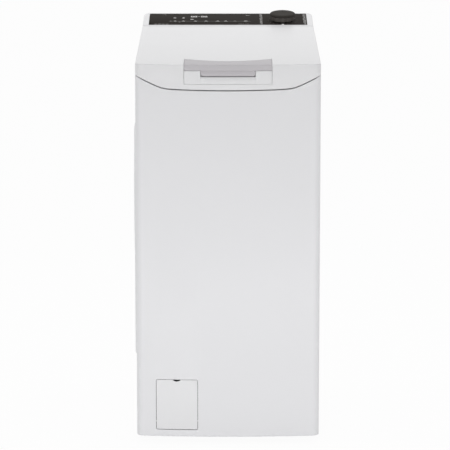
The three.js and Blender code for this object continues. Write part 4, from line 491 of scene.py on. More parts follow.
def moulded(name, color, roughness, grain=0.02, scale=1500, tone=0.012, **sockets):
    """Injection moulded plastic with a fine grain."""
    return grained(
        name, color, roughness, (9, 3, tone), (60, 3, 0.04), (scale, 2, grain, 0.6), **sockets
    )


def rubber(name, color, roughness=0.7):
    return grained(name, color, roughness, (30, 4, 0.10), (80, 3, 0.08), (1200, 3, 0.03, 0.6))


def brushed(name, color, roughness, stretch=(1, 30, 30)):
    """Rolled or brushed metal: long streaks along one axis."""
    made = Shader(name, color, roughness, Metallic=1.0)
    streaks = made.noise(60, 5, stretch)
    made.vary_color(streaks, 0.05)
    made.vary_roughness(streaks, 0.07)
    made.bump(streaks, 0.012, 0.4)
    return made.material


def galvanised(name, color):
    """Zinc coated sheet with its large crystals."""
    made = Shader(name, color, 0.42, Metallic=0.9)
    crystals = made.cells(55, "Color")
    grey = add_node(made.tree, "RGBToBW", {"Color": crystals})["Val"]
    made.vary_color(grey, 0.09)
    made.vary_roughness(grey, 0.08)
    made.bump(made.noise(300, 3), 0.02, 0.4)
    return made.material


def cast_stone(name, color):
    """Concrete: grains, pores and damp patches."""
    made = Shader(name, color, 0.9)
    made.vary_color(made.noise(120, 8), 0.28)
    made.bump(made.noise(260, 8), 0.5, 0.7)
    made.bump(made.cells(190), 0.35, 0.5)
    return made.material


def circuit(name, color):
    """A board's lacquer with its copper tracks."""
    made = Shader(name, color, 0.35)
    inputs = {"Scale": 60, "Mortar Size": 0.03, "Vector": made.coords}
    for socket, share in (("Color1", 1), ("Color2", 0.75), ("Mortar", 2.2)):
        inputs[socket] = (*(c * share for c in color), 1)
    tracks = add_node(made.tree, "TexBrick", inputs, offset=0.35, squash=0.7)
    made.feed("Base Color", tracks["Color"])
    made.bump(tracks["Fac"], 0.05, 0.5)
    return made.material


WHITE_STEEL = grained(
    "white enamel", (0.775, 0.775, 0.79), 0.30, (3, 2, 0.006), (40, 3, 0.03), (420, 2, 0.01, 0.5),
    Coat_Weight=0.15, Coat_Roughness=0.12,
)
WHITE_PLASTIC = moulded("white plastic", (0.775, 0.775, 0.785), 0.36)
WHITE_DECK = moulded("white deck plastic", (0.72, 0.725, 0.735), 0.45, grain=0.05, scale=900)
HANDLE_GREY = moulded("handle plastic", (0.545, 0.527, 0.547), 0.5, grain=0.03, IOR=1.25)
FASCIA_DARK = moulded("fascia film", (0.031, 0.0275, 0.0245), 0.5, grain=0.01, IOR=1.04)
KNOB_DARK = moulded("dial plastic", (0.044, 0.040, 0.036), 0.5, grain=0.03, IOR=1.08)
# painted light: the grip is coloured lighter than the dial's top, standing in for the light its
# upright sides catch
KNOB_GRIP_PAINTED_LIGHT = moulded("dial grip with painted light", (0.120, 0.110, 0.100), 0.45, grain=0.05, IOR=1.3)
PRINT = moulded("pale print", (0.80, 0.79, 0.78), 0.6, grain=0.005)
PRINT_DIM = moulded("dim print", (0.30, 0.29, 0.28), 0.6, grain=0.005)
DISPENSER = moulded("dispenser plastic", (0.50, 0.60, 0.70), 0.35)
DARK_PLASTIC = moulded("dark plastic", (0.045, 0.048, 0.052), 0.55, grain=0.06, scale=900)
TUB_PLASTIC = moulded("filled plastic", (0.42, 0.44, 0.46), 0.6, grain=0.08, scale=700, tone=0.06)
BOARD = circuit("circuit board", (0.03, 0.12, 0.05))
ZINC = galvanised("galvanised sheet", (0.60, 0.61, 0.62))
STAINLESS = brushed("stainless steel", (0.66, 0.66, 0.665), 0.38)
STEEL = brushed("bright steel", (0.52, 0.53, 0.54), 0.35, (30, 30, 1))
CAST = grained(
    "cast aluminium", (0.55, 0.56, 0.57), 0.5, (35, 4, 0.08), (120, 3, 0.08), (900, 4, 0.08, 0.7),
    Metallic=1.0,
)
CONCRETE = cast_stone("concrete", (0.30, 0.29, 0.27))
RUBBER_BLACK = rubber("black rubber", (0.028, 0.028, 0.030))
RUBBER_GREY = rubber("grey rubber", (0.25, 0.26, 0.27), 0.6)

# ---------------------------------------------------------------- skins


def front_columns(corner_steps=10, bow_steps=36):
    """Points and outward normals of the front in plan, from its left corner to its right one."""
    corner_x = HALF - CORNER_RADIUS
    bow_centre = FRONT + BOW_RADIUS
    corner_y = bow_centre - sqrt((BOW_RADIUS - CORNER_RADIUS) ** 2 - corner_x**2)
    meet = atan2(corner_y - bow_centre, corner_x)
    corner, face = [], []
    for i in range(corner_steps):
        nx, ny = cos(-pi - meet * i / corner_steps), -abs(sin(-pi - meet * i / corner_steps))
        corner.append((-corner_x + CORNER_RADIUS * nx, corner_y + CORNER_RADIUS * ny, nx, ny))
    for i in range(bow_steps + 1):
        angle = -pi - meet + (2 * meet + pi) * i / bow_steps
        nx, ny = cos(angle), sin(angle)
        face.append((BOW_RADIUS * nx, bow_centre + BOW_RADIUS * ny, nx, ny))
    return corner + face + mirrored(corner)


def mirrored(columns):
    return [(-x, y, -nx, ny) for x, y, nx, ny in reversed(columns)]


def with_sides(levels):
    """The front's columns with straight sides added back to each of the levels in Y."""
    right = [(HALF, y, 1, 0) for y in sorted(levels)]
    return np.array(mirrored(right) + front_columns() + right)


def ring(columns, inset, height):
    """One row of a skin: the columns drawn in by inset, at a height."""
    x, y, nx, ny = np.transpose(columns)
    return np.transpose([x - nx * inset, y - ny * inset, height + 0 * x])


def fillet_rows(columns, radius, top, steps=5):
    """Rows that round an upright wall over into a level top."""
    return [ring(columns, radius * (1 - c), top - radius * (1 - s)) for s, c in quarter(steps)]


def pressed(across, up, centre, half, radius, edge):
    """How far into a pressed field points lie: 0 outside it, 1 past its sloping edge."""
    away_a = abs(across - centre[0]) - half[0] + radius
    away_b = abs(up - centre[1]) - half[1] + radius
    outside = np.hypot(np.maximum(away_a, 0), np.maximum(away_b, 0))
    outside += np.minimum(np.maximum(away_a, away_b), 0) - radius
    return smooth(-outside / edge)


def rolled(distance):
    """How far a sheet's rolled edge falls back at a distance from the edge."""
    t = np.clip(1 - distance / EDGE_ROLL, 0, 0.98)
    return EDGE_ROLL * (1 - np.sqrt(1 - t * t))


def fine_lines(low, high, dense, step=14 * MM):
    """Values from low to high at a coarse step, finer around each dense (value, reach, step)."""
    values = set(np.round(np.arange(low, high, step), 5)) | {round(low, 5), round(high, 5)}
    for value, reach, fine in dense:
        values |= set(np.round(np.arange(value - reach, value + reach + fine / 2, fine), 5))
    kept = sorted(v for v in values if low <= v <= high)
    result = [kept[0]]
    for v in kept[1:]:
        if v - result[-1] > 0.25 * MM:
            result.append(v)
    result[-1] = high
    return np.array(result)


# ---------------------------------------------------------------- cabinet


def door_outline(grow):
    return rounded(DOOR_HALF + grow, DOOR_HALF_HEIGHT + grow, DOOR_CORNER + grow, DOOR_X, DOOR_Z)


def build_front_panel():
    """One folded sheet: bowed face, round corners, rolled edges, and the filter door's port."""
    turn_in, lip = 13 * MM, 7 * MM
    columns = with_sides([SIDE_START - 0.3 * MM, SIDE_START - 8 * MM])
    top = seam(columns[:, 0]) - SEAM_GAP / 2
    rows = [ring(columns, turn_in, FLOOR_GAP)]
    for s, c in quarter(4):
        rows.append(ring(columns, EDGE_ROLL * (1 - s), FLOOR_GAP + EDGE_ROLL * (1 - c)))
    rows += fillet_rows(columns, EDGE_ROLL, top, 4) + [ring(columns, lip, top)]
    panel = new_piece("front_panel_skin", loft(rows), "cabinet", WHITE_STEEL, "front_panel")
    solidify(panel, SHEET)
    carve(panel, prism(door_outline(0), FRONT - 10 * MM, FRONT + 30 * MM, "y"))
    shade(panel, 30)
    section = (0.9, 0.15), (0.5, 0), (0.1, 0.12), (0, 0.6), (0, 6), (0.9, 6), (0.9, 0.15)
    rows = []
    for grow, depth in section:
        rows.append([(x, bow(x) + depth * MM, z) for x, z in door_outline(grow * MM)])
    new_piece("door_port_collar", loft(rows, closed=True), "cabinet", WHITE_STEEL)


def build_side_panel(side, name):
    """A pressed steel side: a raised, swelling field on the left, a sunk one on the right."""
    top = side_seam(SIDE_START) - SEAM_GAP / 2
    field_y = FRONT + 44 * MM, SIDE_BACK - 14 * MM
    field_z = (0.186, 0.692) if side < 0 else (FLOOR_GAP + 72 * MM, side_seam(SIDE_START) - 72 * MM)
    (middle_y, half_y), (middle_z, half_z) = span(*field_y), span(*field_z)

    def lines(low, high, field):
        dense = [(edge, EDGE_ROLL, 0.5 * MM) for edge in (low, high)]
        slopes = field[0] + 11 * MM, field[1] - 11 * MM
        return fine_lines(low, high, dense + [(slope, 13 * MM, 2.5 * MM) for slope in slopes])

    y = lines(SIDE_START, SIDE_BACK, field_y)
    rows = []
    for z in lines(FLOOR_GAP, top, field_z):
        field = pressed(y, z, (middle_y, middle_z), (half_y, half_z), 20 * MM, 5 * MM)
        swell = pressed(y, z, (middle_y, SWELL_HEIGHT), (226 * MM, 180 * MM), 130 * MM, 30 * MM)
        rise = -2.5 * MM * field if side > 0 else 2.7 * MM * field + 3.7 * MM * swell
        fall = rolled(np.minimum(y - SIDE_START, SIDE_BACK - y))
        fall += rolled(min(z - FLOOR_GAP, top - z))
        lift = (side_seam(y) - side_seam(SIDE_START)) * smooth((z - 0.60) / (top - 0.60))
        rows.append(np.transpose([side * (HALF + rise - fall), y, z + lift]))
    panel = new_piece(name + "_skin", loft(rows), "cabinet", WHITE_STEEL, name)
    solidify(panel, SHEET, 0)
    shade(panel, 30)


def build_rear_panel():
    """The zinc sheet at the back: a raised field with upright beads, holes and screws."""
    low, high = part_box("rear_panel")
    half, face = (high.x - low.x) / 2, high.y
    middle, field_half = span(*REAR_FIELD)
    fine = 2.5 * MM
    dense = [(at, 12 * MM, fine) for at in REAR_BEADS]
    for side in SIDES:
        dense += [(side * 165 * MM, 9 * MM, fine), (side * half, 2 * MM, 0.6 * MM)]
    x = fine_lines(-half, half, dense)
    bead_ends = REAR_FIELD[0] + 35 * MM, REAR_FIELD[1] - 35 * MM
    dense = [(z, 9 * MM, fine) for z in (*REAR_FIELD, *bead_ends)]
    dense += [(REAR_BROW, 14 * MM, fine), (REAR_FOOT, 18 * MM, fine), (low.z, 2 * MM, 0.6 * MM)]
    rows = []
    for z in fine_lines(low.z, high.z - 1 * MM, dense):
        field = pressed(x, z, (0, middle), (168 * MM, field_half), 22 * MM, 5 * MM)
        bead = (9 * MM, field_half - 30 * MM), 8.9 * MM, 6 * MM
        beads = sum(pressed(x, z, (at, middle), *bead) for at in REAR_BEADS)
        brow = pressed(x, z, (0, REAR_BROW), (168 * MM, 11 * MM), 10.9 * MM, 6 * MM)
        foot = pressed(x, z, (0, REAR_FOOT), (90 * MM, 16 * MM), 15.9 * MM, 6 * MM)
        rise = 4 * MM * field - 3 * MM * beads + 3.5 * MM * (brow + foot)
        fall = rolled(np.minimum(half - abs(x), z - low.z))
        rows.append(np.transpose([x, face + rise - fall, z + 0 * x]))
    panel = new_piece("rear_panel_sheet", loft(rows), "cabinet", ZINC, "rear_panel")
    solidify(panel, SHEET, 1)
    holes = [rounded(45 * MM, 12 * MM, 11 * MM, side * 60 * MM, 0.700) for side in SIDES]
    holes += [circle(*hole, 36) for hole in REAR_HOLES]
    carve(panel, *(prism(hole, face - 20 * MM, face + 10 * MM, "y") for hole in holes))
    shade(panel, 30)
    head = from_mm(((4.6, -0.2), (4.6, 0.5), (3.9, 1.3), (2.2, 1.4), (1.6, 0.5)), 0, face)
    places = [(side * 188 * MM, 0, z) for side in SIDES for z in (0.075, 0.26, 0.445, 0.63, 0.79)]
    heads = [turned(head, place, "y", 20) for place in places]
    new_piece("rear_panel_screws", joined(*heads), "cabinet", STEEL, sharp=40)


# ---------------------------------------------------------------- lid


def lid_form(wall, drop):
    """The lid's closed outer form, or the hollow in it: drawn in by a wall, deepened by a drop."""
    nose = LID_NOSE - wall
    backs = [HINGE_Y + nose * sin(radians(angle)) for angle in (12, 25, 38, 50, 61, 70, 78, 84, 90)]
    levels = [-0.2612, -0.22, -0.15, -0.075, 0.0, 0.075, 0.13, 0.155, HINGE_Y, *backs]
    columns = with_sides(levels)
    columns[:, :2] -= wall * columns[:, 2:]
    x, y, nx = columns.T[:3]
    past = np.clip(y - HINGE_Y, 0, nose)
    round_end = np.sqrt(nose * nose - past * past)
    top = np.minimum(lid_top(y) - wall, HINGE_Z + round_end)
    along = smooth((y + 0.285) / 0.024)
    edge = (1 - along) * seam(x) + along * side_seam(y) + SEAM_GAP / 2 - drop
    bottom = np.where(y <= HINGE_Y, edge, np.minimum(np.maximum(edge, HINGE_Z - round_end), top))
    radius = LID_EDGE + (LID_SIDE_EDGE - LID_EDGE) * smooth(abs(nx) * 1.4) - wall
    radius = np.minimum(np.maximum(radius, 0.4 * MM), (top - bottom) / 2)
    soft = np.minimum(0.5 * MM, radius)
    rows = [
        ring(columns, soft, bottom),
        ring(columns, 0.3 * soft, bottom + 0.3 * soft),
        ring(columns, 0, bottom + soft),
    ]
    for row in fillet_rows(columns, radius, top):
        row[:, 2] += LID_RISE * (row[:, 1] - y) * (y < 0)
        rows.append(row)
    verts, faces = loft(rows)
    count, sides = len(columns), len(levels)
    for start in (0, (len(rows) - 1) * count):
        faces.append([start + i for i in range(sides - 1, count - sides + 1)])
        for i in range(sides - 1):
            faces.append((start + i, start + i + 1, start + count - 2 - i, start + count - 1 - i))
    return verts, faces


def handle_opening():
    """The lid's cut for the handle, seen from above: hollow at its back."""
    half = HANDLE_HALF + HANDLE_GAP
    near = FRONT - 20 * MM
    edge = [(x, handle_back(x) + HANDLE_GAP + HANDLE_SWING) for x in np.linspace(half, -half, 25)]
    return [(half, near)] + edge + [(-half, near)]


def lug(y, z, radius, head, start, end):
    """A plate along X that hangs from head to a round end about (y, z)."""
    points = arc(y, z, radius, 180, 360, 12)
    return prism(points + [(points[-1][0], head), (points[0][0], head)], start, end, "x")


def build_lid():
    """The lid's moulded skin, with the openings for the handle and its surround."""
    lid = new_piece("lid_skin", lid_form(0.0, 0.0), "lid", WHITE_PLASTIC, "lid_shell")
    inside = HALF - SHEET - LID_WALL
    nose_end = HINGE_Y + LID_NOSE + 2 * MM
    under_nose = rectangle(HINGE_Y - 1 * MM, nose_end, HINGE_Z - 50 * MM, HINGE_Z)
    half = BEZEL_HALF + 0.5 * MM
    bezel = rectangle(-half, half, FRONT - 10 * MM, FRONT + 40 * MM)
    carve(
        lid,
        lid_form(LID_WALL, 10 * MM),
        prism(under_nose, -inside, inside, "x"),
        prism(handle_opening(), BEZEL_TOP, 0.9),
        prism(bezel, BEZEL_BOTTOM - 0.38 * MM, BAR_BOTTOM + 3 * MM),
    )
    shade(lid, 32)
    lugs = []
    for side in SIDES:
        knuckle = sorted((side * 158.6 * MM, side * 166.4 * MM))
        ear = sorted((side * 93.6 * MM, side * 97.4 * MM))
        lugs.append(lug(HINGE_Y, HINGE_Z, 6.5 * MM, lid_top(HINGE_Y) - 2.5 * MM, *knuckle))
        lugs.append(lug(PIVOT_Y, PIVOT_Z, 4 * MM, lid_top(PIVOT_Y) - 2.7 * MM, *ear))
    new_piece("lid_knuckles", joined(*lugs), "lid", WHITE_PLASTIC, sharp=40)


def build_handle():
    """The grey lever: a bar over the lid's front edge, with the tab, pins and latch tongue."""
    wall, skirt, end_round = 3.4 * MM, 9 * MM, 1.2 * MM
    crown, heel, behind = 1.4 * MM, 0.5 * MM, 2.0 * MM
    ends = [HANDLE_HALF - end_round * (1 - c) for s, c in quarter(4)][:4]
    middle = np.linspace(end_round - HANDLE_HALF, HANDLE_HALF - end_round, 49)
    rows = []
    for x in [-x for x in ends] + list(middle) + ends[::-1]:
        near_end = max(0.0, 1 - (HANDLE_HALF - abs(x)) / end_round)
        shrink = 0.9 * end_round * (1 - sqrt(max(0.0, 1 - near_end**2)))
        over = lambda y: lid_top(y) - shrink
        back, face = handle_back(x) - shrink, bow(x) - HANDLE_PROUD + shrink
        low, inside = BAR_BOTTOM + shrink, back - wall
        profile = [(back, over(back) - skirt)]
        for s, c in quarter(5):
            y = back - behind * (1 - c)
            profile.append((y, over(y) - behind * (1 - s)))
        for s, c in quarter(5):
            y = face + crown * (1 - s)
            profile.append((y, over(y) - crown * (1 - c)))
        profile += [(face + heel * (1 - c), low + heel * (1 - s)) for s, c in quarter(3)]
        profile += [(face + wall, low), (face + wall, over(face) - wall - 1 * MM)]
        profile += [(inside, over(inside) - wall - 1 * MM), (inside, over(inside) - skirt)]
        rows.append([(x, y, z) for y, z in profile])
    new_piece("handle_grip", capped(rows), "handle", HANDLE_GREY, "handle_lever", 34)
    new_piece("handle_tab", handle_tab(), "handle", HANDLE_GREY, sharp=34)

    tongue = ((-2, 0), (-2, -46), (0, -46), (5, -41), (2, -39), (2, 0))
    tongue = from_mm(tongue, PIVOT_Y, PIVOT_Z)
    pin, stay = circle(PIVOT_Y, PIVOT_Z, 2 * MM, 24), circle(PIVOT_Y, PIVOT_Z, 3.2 * MM, 24)
    works = [
        prism(pin, -97 * MM, 97 * MM, "x"),
        prism(stay, 1 * MM - HANDLE_HALF, HANDLE_HALF - 1 * MM, "x"),
        prism(tongue, -8 * MM, 8 * MM, "x"),
    ]
    nose = FRONT + 8 * MM
    for x in (-90, -45, -12, 12, 45, 90):
        end = (x + 1.2) * MM
        far = min(PIVOT_Y + 3 * MM, handle_back(end) - 4 * MM)
        rib = [
            (nose, BAR_BOTTOM + 1 * MM), (PIVOT_Y + 3 * MM, PIVOT_Z - 3 * MM),
            (far, PIVOT_Z + 1.5 * MM), (nose, lid_top(nose) - 4.6 * MM),
        ]
        works.append(prism(rib, end - 2.4 * MM, end, "x"))
    new_piece("handle_works", joined(*works), "handle", HANDLE_GREY, sharp=34)


def handle_tab():
    """The tab the fingers pull: set back under the bar, hollow, with round lower corners."""
    corner, heel, wall, lean = 5 * MM, 0.7 * MM, 3 * MM, 1.7 * MM
    start, top = BAR_BOTTOM - 0.3 * MM, BAR_BOTTOM + 0.5 * MM
    steps = 48
    rows = []
    for i in range(steps + 1):
        x = -TAB_HALF * cos(pi * i / steps)
        from_side = TAB_HALF - abs(x)
        rise = corner - sqrt(max(0.0, corner**2 - max(0.0, corner - from_side) ** 2))
        low = TAB_BOTTOM + min(rise, 4.4 * MM)
        face = bow(x) - HANDLE_PROUD + 0.4 * MM + 1.6 * MM * (1 - smooth(from_side / (3 * MM)))
        profile = [(face + lean, top)]
        for t in np.linspace(0, 1, 7):
            profile.append((face + lean * (1 - t) ** 1.6, start - (start - low - heel) * t))
        profile += [(face + heel * (1 - c), low + heel * (1 - s)) for s, c in quarter(3)[1:]]
        profile += [(face + wall, low), (face + wall + 0.6 * MM, top)]
        rows.append([(x, y, z) for y, z in profile])
    return capped(rows)


def curved_plate(xs, depth):
    """Outline, seen from above, of a plate behind the front's bow."""
    return [(x, bow(x)) for x in xs] + [(x, bow(x) + depth) for x in reversed(xs)]


def build_surround():
    """The white plate under the handle with the finger pocket."""
    outline = curved_plate(np.linspace(-BEZEL_HALF, BEZEL_HALF, 41), POCKET_DEPTH + 2.4 * MM)
    plate = prism(outline, BEZEL_BOTTOM, BEZEL_TOP - 0.3 * MM)
    plate = new_piece("handle_surround", plate, "lid", WHITE_PLASTIC, "handle_bezel")
    near, back, roof = FRONT - 20 * MM, FRONT + POCKET_DEPTH, POCKET_LIP + POCKET_RISE
    pocket = [
        (near, POCKET_LIP), (FRONT, POCKET_LIP), (FRONT + POCKET_RAMP, roof),
        (back, roof + 0.5 * MM), (back, 0.9), (near, 0.9),
    ]
    carve(plate, prism(pocket, -POCKET_HALF, POCKET_HALF, "x"))
    bevel(plate, 0.7 * MM)
    shade(plate, 30)


# ---------------------------------------------------------------- console


def build_console():
    """The white housing behind the lid, with the well that the dark fascia lies in."""
    corner_x, corner_y = HALF - CONSOLE_RADIUS, CONSOLE_BACK - CONSOLE_RADIUS
    right = [(HALF, CONSOLE_FRONT, 0.7, -0.7), (HALF, 0.21, 1, 0), (HALF, 0.25, 1, 0)]
    for ny, nx in quarter(8):
        right.append((corner_x + CONSOLE_RADIUS * nx, corner_y + CONSOLE_RADIUS * ny, nx, ny))
    places = np.array((-0.985, -0.6, -0.2, 0.2, 0.6, 0.985)) * (HALF - 1.6 * MM) / 0.985
    near = [(x, CONSOLE_FRONT, 0, -1) for x in places]
    columns = np.array(right + mirrored(right) + near)
    panel = lambda y: lid_top(CONSOLE_FRONT) + tan(PANEL_SLOPE) * (y - CONSOLE_FRONT)
    y, on_front = columns[:, 1], columns[:, 3] == -1
    bottom = np.maximum(side_seam(y) + SEAM_GAP / 2, lid_top(y) - 34.7 * MM)
    bottom = np.where(on_front, lid_top(CONSOLE_FRONT) - 34.4 * MM, bottom)
    radius = np.where(on_front, 0.3 * MM, CONSOLE_EDGE)
    rows = [ring(columns, 0.4 * MM, bottom), ring(columns, 0, bottom + 0.4 * MM)]
    rows += fillet_rows(columns, radius, panel(y), 6)
    rows[-1][:, 2] = panel(rows[-1][:, 1])
    verts, faces = loft(rows, closed=True)
    faces.append(list(range(len(verts) - len(columns), len(verts))))
    cover = new_piece("console_cover", (verts, faces), "cabinet", WHITE_PLASTIC, "console_housing")
    solidify(cover, 3 * MM)
    carve(cover, tilted(prism(fascia_outline(0.3 * MM), -2.3 * MM, 20 * MM)))
    shade(cover, 30)
    new_piece("console_lip", console_lip(), "cabinet", WHITE_PLASTIC, sharp=30)


def console_lip():
    """The housing's front edge, which reaches over the lid's round back end."""
    under = arc(0, 0, LID_NOSE + 0.6 * MM, LIP_ANGLE, 0, 8)
    tip, end = under[0][0] + 0.4 * MM, CONSOLE_FRONT - HINGE_Y + 1 * MM
    reach = [HALF - LIP_ROUND * (1 - s) for s, c in quarter(6)]
    rows = []
    for x in [-x for x in reversed(reach)] + reach:
        past = max(0.0, abs(x) - (HALF - LIP_ROUND))
        drop = LIP_ROUND - sqrt(LIP_ROUND**2 - past**2)
        skin = lambda y: HINGE_DROP + LID_RISE * y - drop
        profile = [(y, min(z, skin(y) - 0.3 * MM)) for y, z in under]
        profile += [(end, 0.0), (end, skin(end)), (tip + 0.4 * MM, skin(tip))]
        rows.append([(x, HINGE_Y + y, HINGE_Z + z) for y, z in profile])
    return capped(rows)


def fascia_outline(grow):
    half = FASCIA_DEPTH / 2
    return rounded(FASCIA_HALF + grow, half + grow, 3 * MM, 0, FASCIA_START + half, 5)


def build_fascia():
    rows = []
    for inset, height in ((0.0, -2.0), (0.0, -0.35), (0.1, -0.1), (0.35, 0.0)):
        rows.append([(x, y, height * MM) for x, y in fascia_outline(-inset * MM)])
    new_piece("fascia_panel", tilted(capped(rows)), "cabinet", FASCIA_DARK, "control_fascia")


def bar(x, y, width, depth):
    return [rectangle(x - width / 2, x + width / 2, y - depth / 2, y + depth / 2)]


def ring_mark(x, y, radius, width, steps=20, start=0, end=360):
    """A thin circle or arc, as separate four-sided patches."""
    inner = arc(x, y, radius - width, start, end, steps)
    outer = arc(x, y, radius, start, end, steps)
    return [[inner[i], outer[i], outer[i + 1], inner[i + 1]] for i in range(steps)]


def digits(text, x, y, height):
    """Plain seven-segment figures, as bars."""
    lit = "abcdef bc abged abgcd fgbc afgcd afgedc abc abcdefg abfgcd g".split()
    places = {
        "a": (0.5, 1, 1), "g": (0.5, 0.5, 1), "d": (0.5, 0, 1),
        "f": (0, 0.75, 0), "b": (1, 0.75, 0), "e": (0, 0.25, 0), "c": (1, 0.25, 0),
    }
    width, line = height * 0.52, height * 0.17
    marks = []
    for k, figure in enumerate(text):
        left = x + k * width * 1.6
        for segment in lit["0123456789-".index(figure)]:
            across, up, level = places[segment]
            size = (width, line) if level else (line, height / 2)
            marks += bar(left + across * width, y + up * height, *size)
    return marks


def print_piece(name, marks, material):
    """Flat printed shapes a hair above the fascia, with a little thickness of ink."""
    ink = joined(*(prism(from_mm(mark), -0.01 * MM, 0.06 * MM) for mark in marks))
    new_piece(name, tilted(ink), "cabinet", material)


def build_prints():
    """Generic marks in place of the fascia's symbols and labels. Millimetres on the panel."""
    row = lambda machine_y: (machine_y - CONSOLE_FRONT / MM) / cos(PANEL_SLOPE)
    start, end = FASCIA_START / MM, (FASCIA_START + FASCIA_DEPTH) / MM
    knob_x, knob_y = KNOB_X / MM, KNOB_ALONG / MM
    keys = row(223)
    bright, dim = [], []
    for x, wide, marks in (
        (-133, 4, dim), (-123, 6, bright), (-104, 7, bright), (-76, 8, bright), (-51, 8, bright),
        (-24, 8, bright), (-5, 8, bright), (16, 8, dim), (41, 9, bright),
    ):
        marks += bar(x, keys, wide, 2.2) + bar(x, keys + 5.2, wide * 0.6, 1.2)
    dim += bar(-42, keys + 0.6, 190, 1.0)
    for x in (-124, -104):
        bright += ring_mark(x, row(252), 3.2, 1.2) + bar(x, row(252) + 3.0, 1.2, 4)
    bright += digits("88-88", -86, row(259), 9.5)
    bright += bar(-84, row(240), 7, 3.4) + bar(46, row(276), 9, 1.2) + bar(-149, row(280), 8, 0.7)
    bright += ring_mark(-113, row(219), 2.4, 0.8, 10, 200, 340)
    for i in range(5):
        bright += bar(26 + 5.2 * i, row(199), 3.2, 0.9)
    for i in range(4):
        bright += bar(-168 + 9 * i, row(198), 6, 1.5)
    for column in (77, 178):
        for i in range(9):
            bright += digits(str(10 * (i + 1)), column - 2.6, start + 6 + i * 10.2, 3.9)
    edge = start + 0.4
    tip = arc(knob_x, edge + 5.5, 2.9, 0, 180, 10)
    bright.append([(knob_x - 2.9, edge), (knob_x + 2.9, edge)] + tip)
    for x, y in arc(knob_x, knob_y, 33.5, 10, 350, 17):
        if start + 2 < y < end - 2:
            dim.append(circle(x, y, 0.7, 8))
    print_piece("fascia_print_bright", bright, PRINT)
    print_piece("fascia_print_dim", dim, PRINT_DIM)


def build_knob():
    """The dial: a straight fluted grip under a wider, smooth, faintly hollow top."""
    cap = (
        (26.5, 12.4), (29.0, 12.8), (29.9, 13.4), (30.1, 14.0), (30.1, 14.4), (29.8, 15.2),
        (29.2, 16.2), (28.2, 17.4), (26.6, 17.9), (14.0, 17.5), (4.0, 17.4),
    )
    rib = (-0.9, 13), (0.9, 13), (0.9, 25), (0.5, 26), (-0.5, 26), (-0.9, 25)
    grip = (24.8, 1.7), (25.7, 2.1), (26.2, 4.4), (26.6, 9.0), (27.0, 12.0), (27.2, 12.9)
    sides = 16 * FLUTES
    seat = PANEL_TILT @ Matrix.Translation((KNOB_X, KNOB_ALONG, 0))
    shape = joined(turned(from_mm(cap), sides=sides), prism(from_mm(rib), 17 * MM, 18.2 * MM))
    top = new_piece("dial_top", tilted(shape, seat), "knob", KNOB_DARK, "program_knob", 38)
    top.visible_glossy = False  # the photograph shows no mirror image of the dial on the lid
    shaft = prism(circle(0, 0, 4 * MM, 24), -18 * MM, 1.4 * MM)
    shape = joined(turned(from_mm(grip), sides=sides, flute=FLUTE_DEPTH), shaft)
    # the grip's lighter colour is painted light on the dial's sides
    new_piece("dial_grip", tilted(shape, seat), "knob", KNOB_GRIP_PAINTED_LIGHT, sharp=38)


# ---------------------------------------------------------------- filter door


def build_filter_door():
    """The bowed flap with its finger notch, cheeks and pins."""
    half = DOOR_HALF - DOOR_GAP
    low = DOOR_Z - DOOR_HALF_HEIGHT + DOOR_LOW_GAP
    high = DOOR_Z + DOOR_HALF_HEIGHT - DOOR_GAP
    outline = curved_plate(np.linspace(DOOR_X - 1.3 * half, DOOR_X + 1.3 * half, 25), 2.5 * MM)
    door = prism(outline, low - 20 * MM, high + 20 * MM)
    door = new_piece("filter_flap_skin", door, "filter_flap", WHITE_PLASTIC, "filter_door")
    middle, half_height = span(low, high)
    edge = rounded(half, half_height, DOOR_CORNER - DOOR_GAP, DOOR_X, middle)
    notch = circle(DOOR_X - 0.5 * MM, high + NOTCH_RADIUS - NOTCH_DEPTH, NOTCH_RADIUS, 45)
    reach = FRONT - 50 * MM, FRONT + 50 * MM
    carve(door, prism(edge, *reach, "y"), operation="INTERSECT")
    carve(door, prism(notch, *reach, "y"))
    bevel(door, 0.6 * MM)
    shade(door, 30)
    pin_y, pin_z, cheek_half = FRONT + 14 * MM, low + 16 * MM, 3.5 * MM
    parts = []
    for side in SIDES:
        face = bow(DOOR_X + side * half) + 1.6 * MM
        start = DOOR_X + side * (half - 3.5 * MM)
        cheek = [(face, pin_z - cheek_half), (pin_y, pin_z - cheek_half)]
        cheek += arc(pin_y, pin_z, cheek_half, -75, 75, 10)
        cheek += [(pin_y, pin_z + cheek_half), (face, pin_z + cheek_half)]
        parts.append(prism(cheek, *sorted((start, start + side * 2.5 * MM)), "x"))
        pin = circle(pin_y, pin_z, 1.5 * MM, 24)
        parts.append(prism(pin, *sorted((start, DOOR_X + side * (half + 6.8 * MM))), "x"))
    new_piece("filter_flap_hinge_cheeks", joined(*parts), "filter_flap", WHITE_PLASTIC, sharp=34)


# ---------------------------------------------------------------- drum


def perforated(start, end, half, radius, point):
    """A rolled sheet with rows of round holes, from angle to angle; point places a spot of it."""
    holes_around = round((end - start) * radius / DRUM_PITCH)
    holes_along = round(2 * (half - DRUM_RIM) / DRUM_PITCH)
    step_x, step_a = 2 * (half - DRUM_RIM) / holes_along, (end - start) / holes_around
    corners = (1, 0), (1, 1), (0, 1), (-1, 1), (-1, 0), (-1, -1), (0, -1), (1, -1)
    edge = [(a * step_a / 2, b * step_x / 2) for b, a in corners]
    hole = [(a / radius, b) for b, a in circle(0, 0, DRUM_HOLE, 8)]
    cells = []
    for i in range(holes_along):
        for j in range(holes_around):
            x, angle = DRUM_RIM - half + (i + 0.5) * step_x, start + (j + 0.5) * step_a
            around = lambda spots: [point(radius, angle + a, x + b) for a, b in spots]
            cells.append(loft([around(edge), around(hole)], closed=True))
    angles = [start + j * step_a / 2 for j in range(2 * holes_around + 1)]
    for side in SIDES:
        rim = [[point(radius, a, side * x) for a in angles] for x in (half - DRUM_RIM, half)]
        cells.append(loft(rim))
    return joined(*cells)


